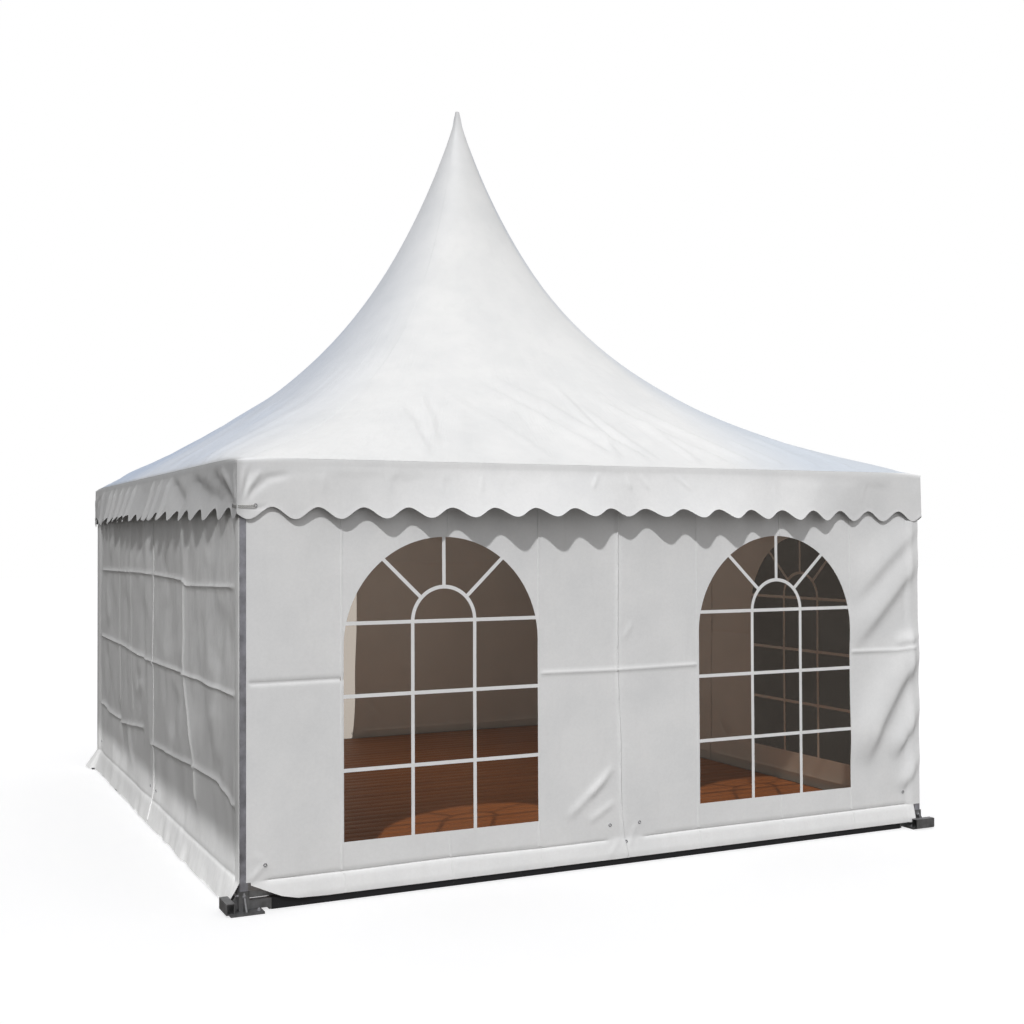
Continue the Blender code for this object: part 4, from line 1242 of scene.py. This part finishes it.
def make_wall(name, k, sign, spacing, material, windowed):
    """Wall sheet of one half side with its skirt, lapped at the mid joint."""
    under = sign > 0
    shift = -0.03 if under else 0.0
    joint = joint_points(np.linspace(WALL_TOP, SKIRT_TOP, 40), shift)
    hem = wall_hem(k, sign)
    hem[-1] = (float(joint_place(hem[-1][1])) + shift, hem[-1][1])
    edge = sign * SHEET_EDGES.get((k, sign), WALL_EDGE)
    outline = [(edge, SKIRT_TOP), (edge, WALL_TOP)] + joint + hem[::-1]
    if k != 3:
        outline.append((sign * SKIRT_EDGE, SKIRT_TOP))
    loops = [outline] + (window_panes(sign * WINDOW_CENTRE) if windowed else [])
    narrow = [(path, width) for path, _, width in WALL_CREASES[k]]
    narrow.append((joint_points(np.linspace(0.06, WALL_TOP, 24), -0.007), 0.0065))
    flat, faces = net(loops, spacing, narrow)
    a, z = flat[:, 0], flat[:, 1]
    points = side_place(k, a, wall_depth(k, a, z) + lap(k, under, a, z), z)
    sheet = sheet_piece(f"sheet_{name}", points, faces, WALL_CLOTH, material, "wall_fabric", [name])
    area = surface_area(np.column_stack([flat, 0 * a]), faces)
    return sheet, tuple(flat.max(axis=0) - flat.min(axis=0)), area


# cross-sections of a welded strip: place across and rise
FLAT_STRIP = ((1.0, -0.0005), (0.84, 1.0), (0.0, 1.2), (-0.84, 1.0), (-1.0, -0.0005))
BEAD = ((1.0, -0.1), (0.87, 0.5), (0.5, 0.87), (0.0, 1.0), (-0.5, 0.87), (-0.87, 0.5), (-1.0, -0.1))


def ribbon(k, path, half, lift, under=False, profile=FLAT_STRIP):
    """Welded strip along a path on a wall, flat with bevelled edges or a rounded bead."""
    path = np.asarray(path, float)
    steps = np.concatenate([[0.0], np.cumsum(np.linalg.norm(np.diff(path, axis=0), axis=1))])
    count = max(2, int(steps[-1] / 0.03))
    t = np.linspace(0, steps[-1], count)
    a, z = np.interp(t, steps, path[:, 0]), np.interp(t, steps, path[:, 1])
    da, dz = np.gradient(a), np.gradient(z)
    size = np.hypot(da, dz)
    na, nz = -dz / size, da / size
    rows = []
    for across, rise in profile:
        pa, pz = a + na * half * across, z + nz * half * across
        rows.append(side_place(k, pa, wall_depth(k, pa, pz) + lap(k, under, pa, pz) + lift * rise, pz))
    return thick_sheet(np.concatenate(rows), grid_faces(count, len(rows)), 0.0006)


def make_seams(k, sign, windowed, material):
    """Welded seams of one wall sheet."""
    under = sign > 0
    top, above, below, hem = WALL_TOP - 0.01, SKIRT_TOP + 0.008, SKIRT_TOP - 0.012, HEM_Z + 0.006
    lines, half, lift, profile = [], 0.0075, 0.0018, FLAT_STRIP
    if windowed:
        c = sign * WINDOW_CENTRE
        for x in (c - WINDOW_HALF - 0.012, c + WINDOW_HALF + 0.008):
            lines += [((x, top), (x, above)), ((x + 0.012, below), (x + 0.014, hem))]
        lines += [((c + 0.03, top), (c + 0.03, 2.116)), ((c + 0.035, 0.317), (c + 0.04, above)),
                  ((c + 0.045, below), (c + 0.05, hem))]
    elif k == 2:
        lines = [((sign * x, top), (sign * x, above)) for x in (0.62, 1.24, 1.86)]
    elif under:
        lines = [((x, SKIRT_TOP + 0.01), (x, SKIRT_TOP + 0.16)) for x in (0.06, 2.4)]
        half, lift = 0.012, 0.0015
    else:
        lines = [joint_points(np.linspace(0.03, WALL_TOP - 0.02, 60))]
        half, lift, profile = 0.015, 0.006, BEAD
    parts = [ribbon(k, line, half, lift, under, profile) for line in lines]
    name = f"seams_{SIDES[k]}_{'right' if under else 'left'}"
    return joined_piece(name, parts, material, "wall_fabric", 40)


def make_film(name, k, sign, material):
    """Clear film of one window, slightly wavy."""
    wide, low = WINDOW_HALF + 0.022, WINDOW_LOW - 0.022
    c = sign * WINDOW_CENTRE
    outline = [(c - wide, low), (c + wide, low)] + arc(c, WINDOW_ARCH, wide, 0, pi, 40)
    mark = [(c - WINDOW_HALF, 1.262), (c - 0.2, 1.252), (c + WINDOW_HALF, 1.262)]
    flat, faces = net([outline], 0.04, [(mark, 0.009)])
    a, z = flat[:, 0], flat[:, 1]
    inner = eased((WINDOW_HALF - np.abs(a - c)) / 0.2) * eased((z - WINDOW_LOW) / 0.2)
    inner = inner * eased((WINDOW_TOP - z) / 0.3)
    wave = 0.0004 * value_noise(a / 0.35 + 5 * k, z / 0.5, 60 + k) * inner
    depth = wall_depth(k, a, z) - WALL_CLOTH / 2 + 0.0004 + wave - fold(a, z, mark, 0.0012, 0.006, 0.05)
    points = side_place(k, a, depth, z)
    return sheet_piece(f"clear_{name}", points, faces, 0.0008, material, "window_film", [name])


def make_curtain(material):
    """Door half of the back wall, drawn aside in pleats and tied with a strap."""
    pleats, steps, rows = 8, 14, 70
    heights = (0.12, 0.6, 0.95, 1.15, 1.35, 1.7, 2.1, WALL_TOP)
    widths = (0.36, 0.3, 0.22, 0.2, 0.22, 0.3, 0.4, 0.44)
    depths = (0.06, 0.066, 0.072, 0.072, 0.072, 0.066, 0.054, 0.036)
    columns, middle, edge, strap_z = pleats * steps + 1, 2.445, 2.452, 1.15
    z = np.linspace(WALL_TOP, heights[0], rows)[:, None]
    i = np.arange(columns)[None, :]
    width = curve_through(heights, widths, z)
    deep = curve_through(heights, depths, z) * 0.94
    a = edge - width + width * i / (columns - 1)
    drift = 0.35 * value_noise(i / 22.0, z / 0.5, 81)
    size = 1 + 0.15 * value_noise(i / 9.0, z / 0.6, 82)
    d = middle + deep * np.clip(np.cos(2 * pi * i / steps + drift) * size, -1, 1)
    a, d, z = np.broadcast_arrays(a, d, z)
    points = side_place(2, a.ravel(), d.ravel(), z.ravel())
    faces = [tuple(reversed(f)) for f in grid_faces(columns, rows)]
    curtain = sheet_piece("curtain_sheet", points, faces, 0.002, material, "wall_fabric", ["door_curtain"])
    turn = np.linspace(0, 2 * pi, 48, endpoint=False)
    band = []
    for dz, grow in ((-0.025, 0.0), (-0.024, 0.004), (0.024, 0.004), (0.025, 0.0)):
        a, d = edge - 0.1 + (0.104 + grow) * np.cos(turn), middle + (0.08 + grow) * np.sin(turn)
        band.append(side_place(2, a, d, strap_z + dz))
    around = grid_faces(48, 4, closed=True)
    return curtain, piece("curtain_strap", np.concatenate(band), around, material, "wall_fabric", 40)


# Deck

BOARD_PITCH = (DECK_HIGH.y - DECK_LOW.y) / BOARD_COUNT


def plank(x0, x1, y0, y1, z0, z1):
    """Board with rounded top edges."""
    bevel = 0.004
    part = bevel * 0.35
    outline = [(y0, z0), (y1, z0), (y1, z1 - bevel), (y1 - part, z1 - part), (y1 - bevel, z1),
               (y0 + bevel, z1), (y0 + part, z1 - part), (y0, z1 - bevel)]
    size = len(outline)
    faces = grid_faces(size, 2, closed=True) + end_faces(size, size)
    return [(x, y, z) for x in (x0, x1) for y, z in outline], faces


def make_deck(material):
    """Boards across the tent with staggered butt joints, on joists."""
    gap = 0.0018
    parts = []
    for i in range(BOARD_COUNT):
        y0 = DECK_LOW.y + i * BOARD_PITCH
        y1 = y0 + BOARD_PITCH - (gap if i < BOARD_COUNT - 1 else 0.0)
        split = (-1.0, 1.0, 0.0)[i % 3]
        top = DECK_HIGH.z - 0.0006 * ((i * 7) % 3)
        parts.append(plank(DECK_LOW.x, split - 0.001, y0, y1, JOIST_HIGH, top))
        parts.append(plank(split + 0.001, DECK_HIGH.x, y0, y1, JOIST_HIGH, top))
    for x in (-2.0, -1.0, 0.0, 1.0, 2.0):
        near, far = DECK_LOW.y + 0.001, DECK_HIGH.y - 0.001
        verts, faces = plank(near, far, -x - 0.03, -x + 0.03, 0.0, JOIST_HIGH - 0.0002)
        parts.append(([(-v[1], v[0], v[2]) for v in verts], faces))
    return joined_piece("deck_boards", parts, material, "deck_timber", 30, ["floor_deck"])


# Hardware

def make_hardware(k, steel):
    """Bolts on one foot and its post."""
    out, plate_top = POST_FACE + 0.0063, 0.0122
    post_bolt, foot_bolt = 0.011, 0.012
    parts = []
    for side, a in ((k, 2.491), ((k + 1) % 4, -2.491)):
        parts.append(bolt(side_place(side, a, out, 0.09)[0], outwards(side), post_bolt))
    for a, d in ((2.412, 2.412), (2.412, 2.545), (2.545, 2.412)):
        parts.append(bolt(side_place(k, a, d, plate_top)[0], (0, 0, 1), foot_bolt))
    return joined_piece(f"bolts_{CORNERS[k]}", parts, steel, "foot_steel", 35)


def make_deck_trim(material):
    """Folded metal edge round the deck, standing on the ground rails."""
    parts = []
    a, outer, low, thick = 2.447, 2.456, DECK_HIGH.z - 0.036, 0.0012
    for k in range(4):
        inner, high = (2.2, DECK_HIGH.z + 0.001 + 0.0004) if k == 0 else (2.43, DECK_HIGH.z + 0.001)
        section = ((outer, low), (outer, high), (inner, high + thick), (inner, high),
                   (outer - thick, high - 0.001), (outer - thick, low))
        rows = [side_place(k, np.array([-a, a]), np.full(2, d), z) for d, z in section]
        count = len(rows)
        turns = [(i, (i + 1) % count) for i in range(count)]
        faces = [(2 * i, 2 * i + 1, 2 * n + 1, 2 * n) for i, n in turns]
        faces += [tuple(2 * i for i in reversed(range(count))), tuple(2 * i + 1 for i in range(count))]
        parts.append((np.concatenate(rows), faces))
    return joined_piece("deck_trim", parts, material, "foot_steel", 30)


def outwards(k):
    """Direction that a side faces."""
    return side_place(k, 0.0, 1.0, 0.0)[0]


def make_lacing(metal_look, cord_look):
    """Eyelets at joints and corners, and cords that lace the band's corners but for the front right one."""
    rings, cords = [], []
    for k in range(4):
        for a, z in ((-0.089, 0.255), (0.133, 0.253), (0.027, 0.14), (-2.371, 0.256), (2.371, 0.256)):
            if k == 2 and a > 0.05:
                continue
            depth = float(wall_depth(k, np.array([a]), np.array([z]))[0]) + 0.001
            rings.append(ring(side_place(k, a, depth, z)[0], outwards(k), 0.0028))
        if k == 0:
            continue
        ends = []
        for side, turn in ((k, 1), ((k + 1) % 4, -1)):
            out = outwards(side)
            place = band_place(side, np.array([turn * 2.43]), np.array([2.287]))[0]
            rings.append(ring(place + out * 0.001, out, 0.0025))
            near = side_place(side, turn * (BAND_FACE - 0.008), BAND_FACE + 0.006, 2.284)[0]
            ends.append([place - out * 0.006, place + out * 0.005, near])
        for drop in (0.0, -0.01):
            path = [p + np.array((0, 0, drop)) for p in ends[0] + ends[1][::-1]]
            cords.append(tube(path, 0.0019))
    joined_piece("eyelets", rings, metal_look, "joint_steel", 50)
    joined_piece("corner_laces", cords, cord_look, "band_fabric", 60)


# Scene

bpy.context.scene.view_settings.view_transform = "Standard"
POST_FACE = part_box("post_front_right")[1].x

make_camera()
make_world()
key = make_sun("key", (-0.438, -0.545, 0.714), strength=2.04, spread=2.0)
deck_key = make_sun("deck_key", (-0.357, -0.583, 0.729), strength=6.0, spread=1.0)
side_fill = make_sun("side_fill", (-0.3, -0.8, 0.52), strength=1.4, spread=5.0)
lamp = make_inner_lamp()
floor = make_floor()
card, scrim = make_flags()

# cloth: colour, roughness, top of the dust, puckers, seed, part; metal: colour, roughness, scratches
roof_cloth = cloth("roof_cloth", (0.755, 0.755, 0.75), 0.5, 0.0, 0.3, 3.0, "roof")
band_cloth = cloth("band_cloth", (0.82, 0.82, 0.82), 0.5, 0.0, 0.8, 11.0)
wall_cloth = cloth("wall_cloth", (0.83, 0.83, 0.83), 0.52, 0.5, 0.5, 23.0)
# left walls: wall cloth with painted shade to the back, low down and behind the band's hem
left_wall_shaded_cloth = cloth("left_wall_shaded_cloth", (0.872, 0.872, 0.867), 0.52, 0.15, 1.0, 31.0, "left")
# left band: darker copy of the band cloth, painted shade for the side in shade
left_band_cloth = cloth("left_band_cloth", (0.6, 0.6, 0.6), 0.5, 0.0, 1.0, 17.0)
film = clear_film("film_clear", (0.7, 0.66, 0.615))
# darker copy of the clear film for the right-side windows: painted shade that darkens the view through them
shade_tint_film = clear_film("film_dark", (0.25, 0.245, 0.24))
aluminium = metal("aluminium", (0.55, 0.55, 0.6), 0.42, 1.0)
edge_metal = metal("edge_metal", (0.5, 0.5, 0.5), 0.5, 1.0)
steel = metal("galvanised", (0.48, 0.48, 0.5), 0.45, 1.5)
stay_metal = metal("stay_wire", (0.52, 0.52, 0.54), 0.35, 0.6)
foot_paint = metal("foot_dark", (0.31, 0.31, 0.315), 0.46, 1.0)
rail_paint = paint("rail_black", (0.012, 0.012, 0.014), 0.45)
wood = timber("deck_stain")
lace_cord = braid("lace_cord", (0.62, 0.61, 0.58))

roof, roof_area = make_roof(roof_cloth)
for k in range(4):
    # the left band takes the darker copy with painted shade
    band = make_band(k, left_band_cloth if k == 3 else band_cloth)

# name, side, half, spacing of its net, with windows
WALLS = (("wall_front_left", 0, -1, 0.019, True), ("wall_front_right", 0, 1, 0.019, True),
         ("wall_left_front", 3, 1, 0.021, False), ("wall_left_back", 3, -1, 0.024, False),
         ("wall_right_front", 1, -1, 0.032, True), ("wall_right_back", 1, 1, 0.032, True),
         ("wall_back_right", 2, -1, 0.032, False))
for name, k, sign, spacing, windowed in WALLS:
    look = left_wall_shaded_cloth if k == 3 else wall_cloth
    sheet, flat, area = make_wall(name, k, sign, spacing, look, windowed)
    seams = make_seams(k, sign, windowed, look)
    if windowed:
        make_film(name.replace("wall", "film"), k, sign, film if k == 0 else shade_tint_film)

curtain, strap = make_curtain(wall_cloth)
deck = make_deck(wood)
make_deck_trim(edge_metal)
make_lacing(steel, lace_cord)
for k in range(4):
    make_hardware(k, steel)

FINISHES = (("post_", aluminium), ("eave_beam", aluminium), ("mast", aluminium), ("corner_joint", steel),
            ("mast_foot", steel), ("stay_", stay_metal), ("foot_", foot_paint), ("ground_rail", rail_paint))
for name, obj in frame["nodes"].items():
    for start, finish in FINISHES:
        if name.startswith(start):
            obj.data.materials.clear()
            obj.data.materials.append(finish)

left_cloth = [obj for obj in bpy.context.scene.objects
              if obj.name.startswith(("sheet_wall_left", "band_left", "seams_left"))]
link_light(key, "receiver", [floor, deck], "EXCLUDE")
link_light(lamp, "receiver", [floor], "EXCLUDE")
link_light(deck_key, "receiver", [deck], "INCLUDE")
link_light(side_fill, "receiver", left_cloth, "INCLUDE")
link_light(side_fill, "blocker", [card, scrim], "EXCLUDE")
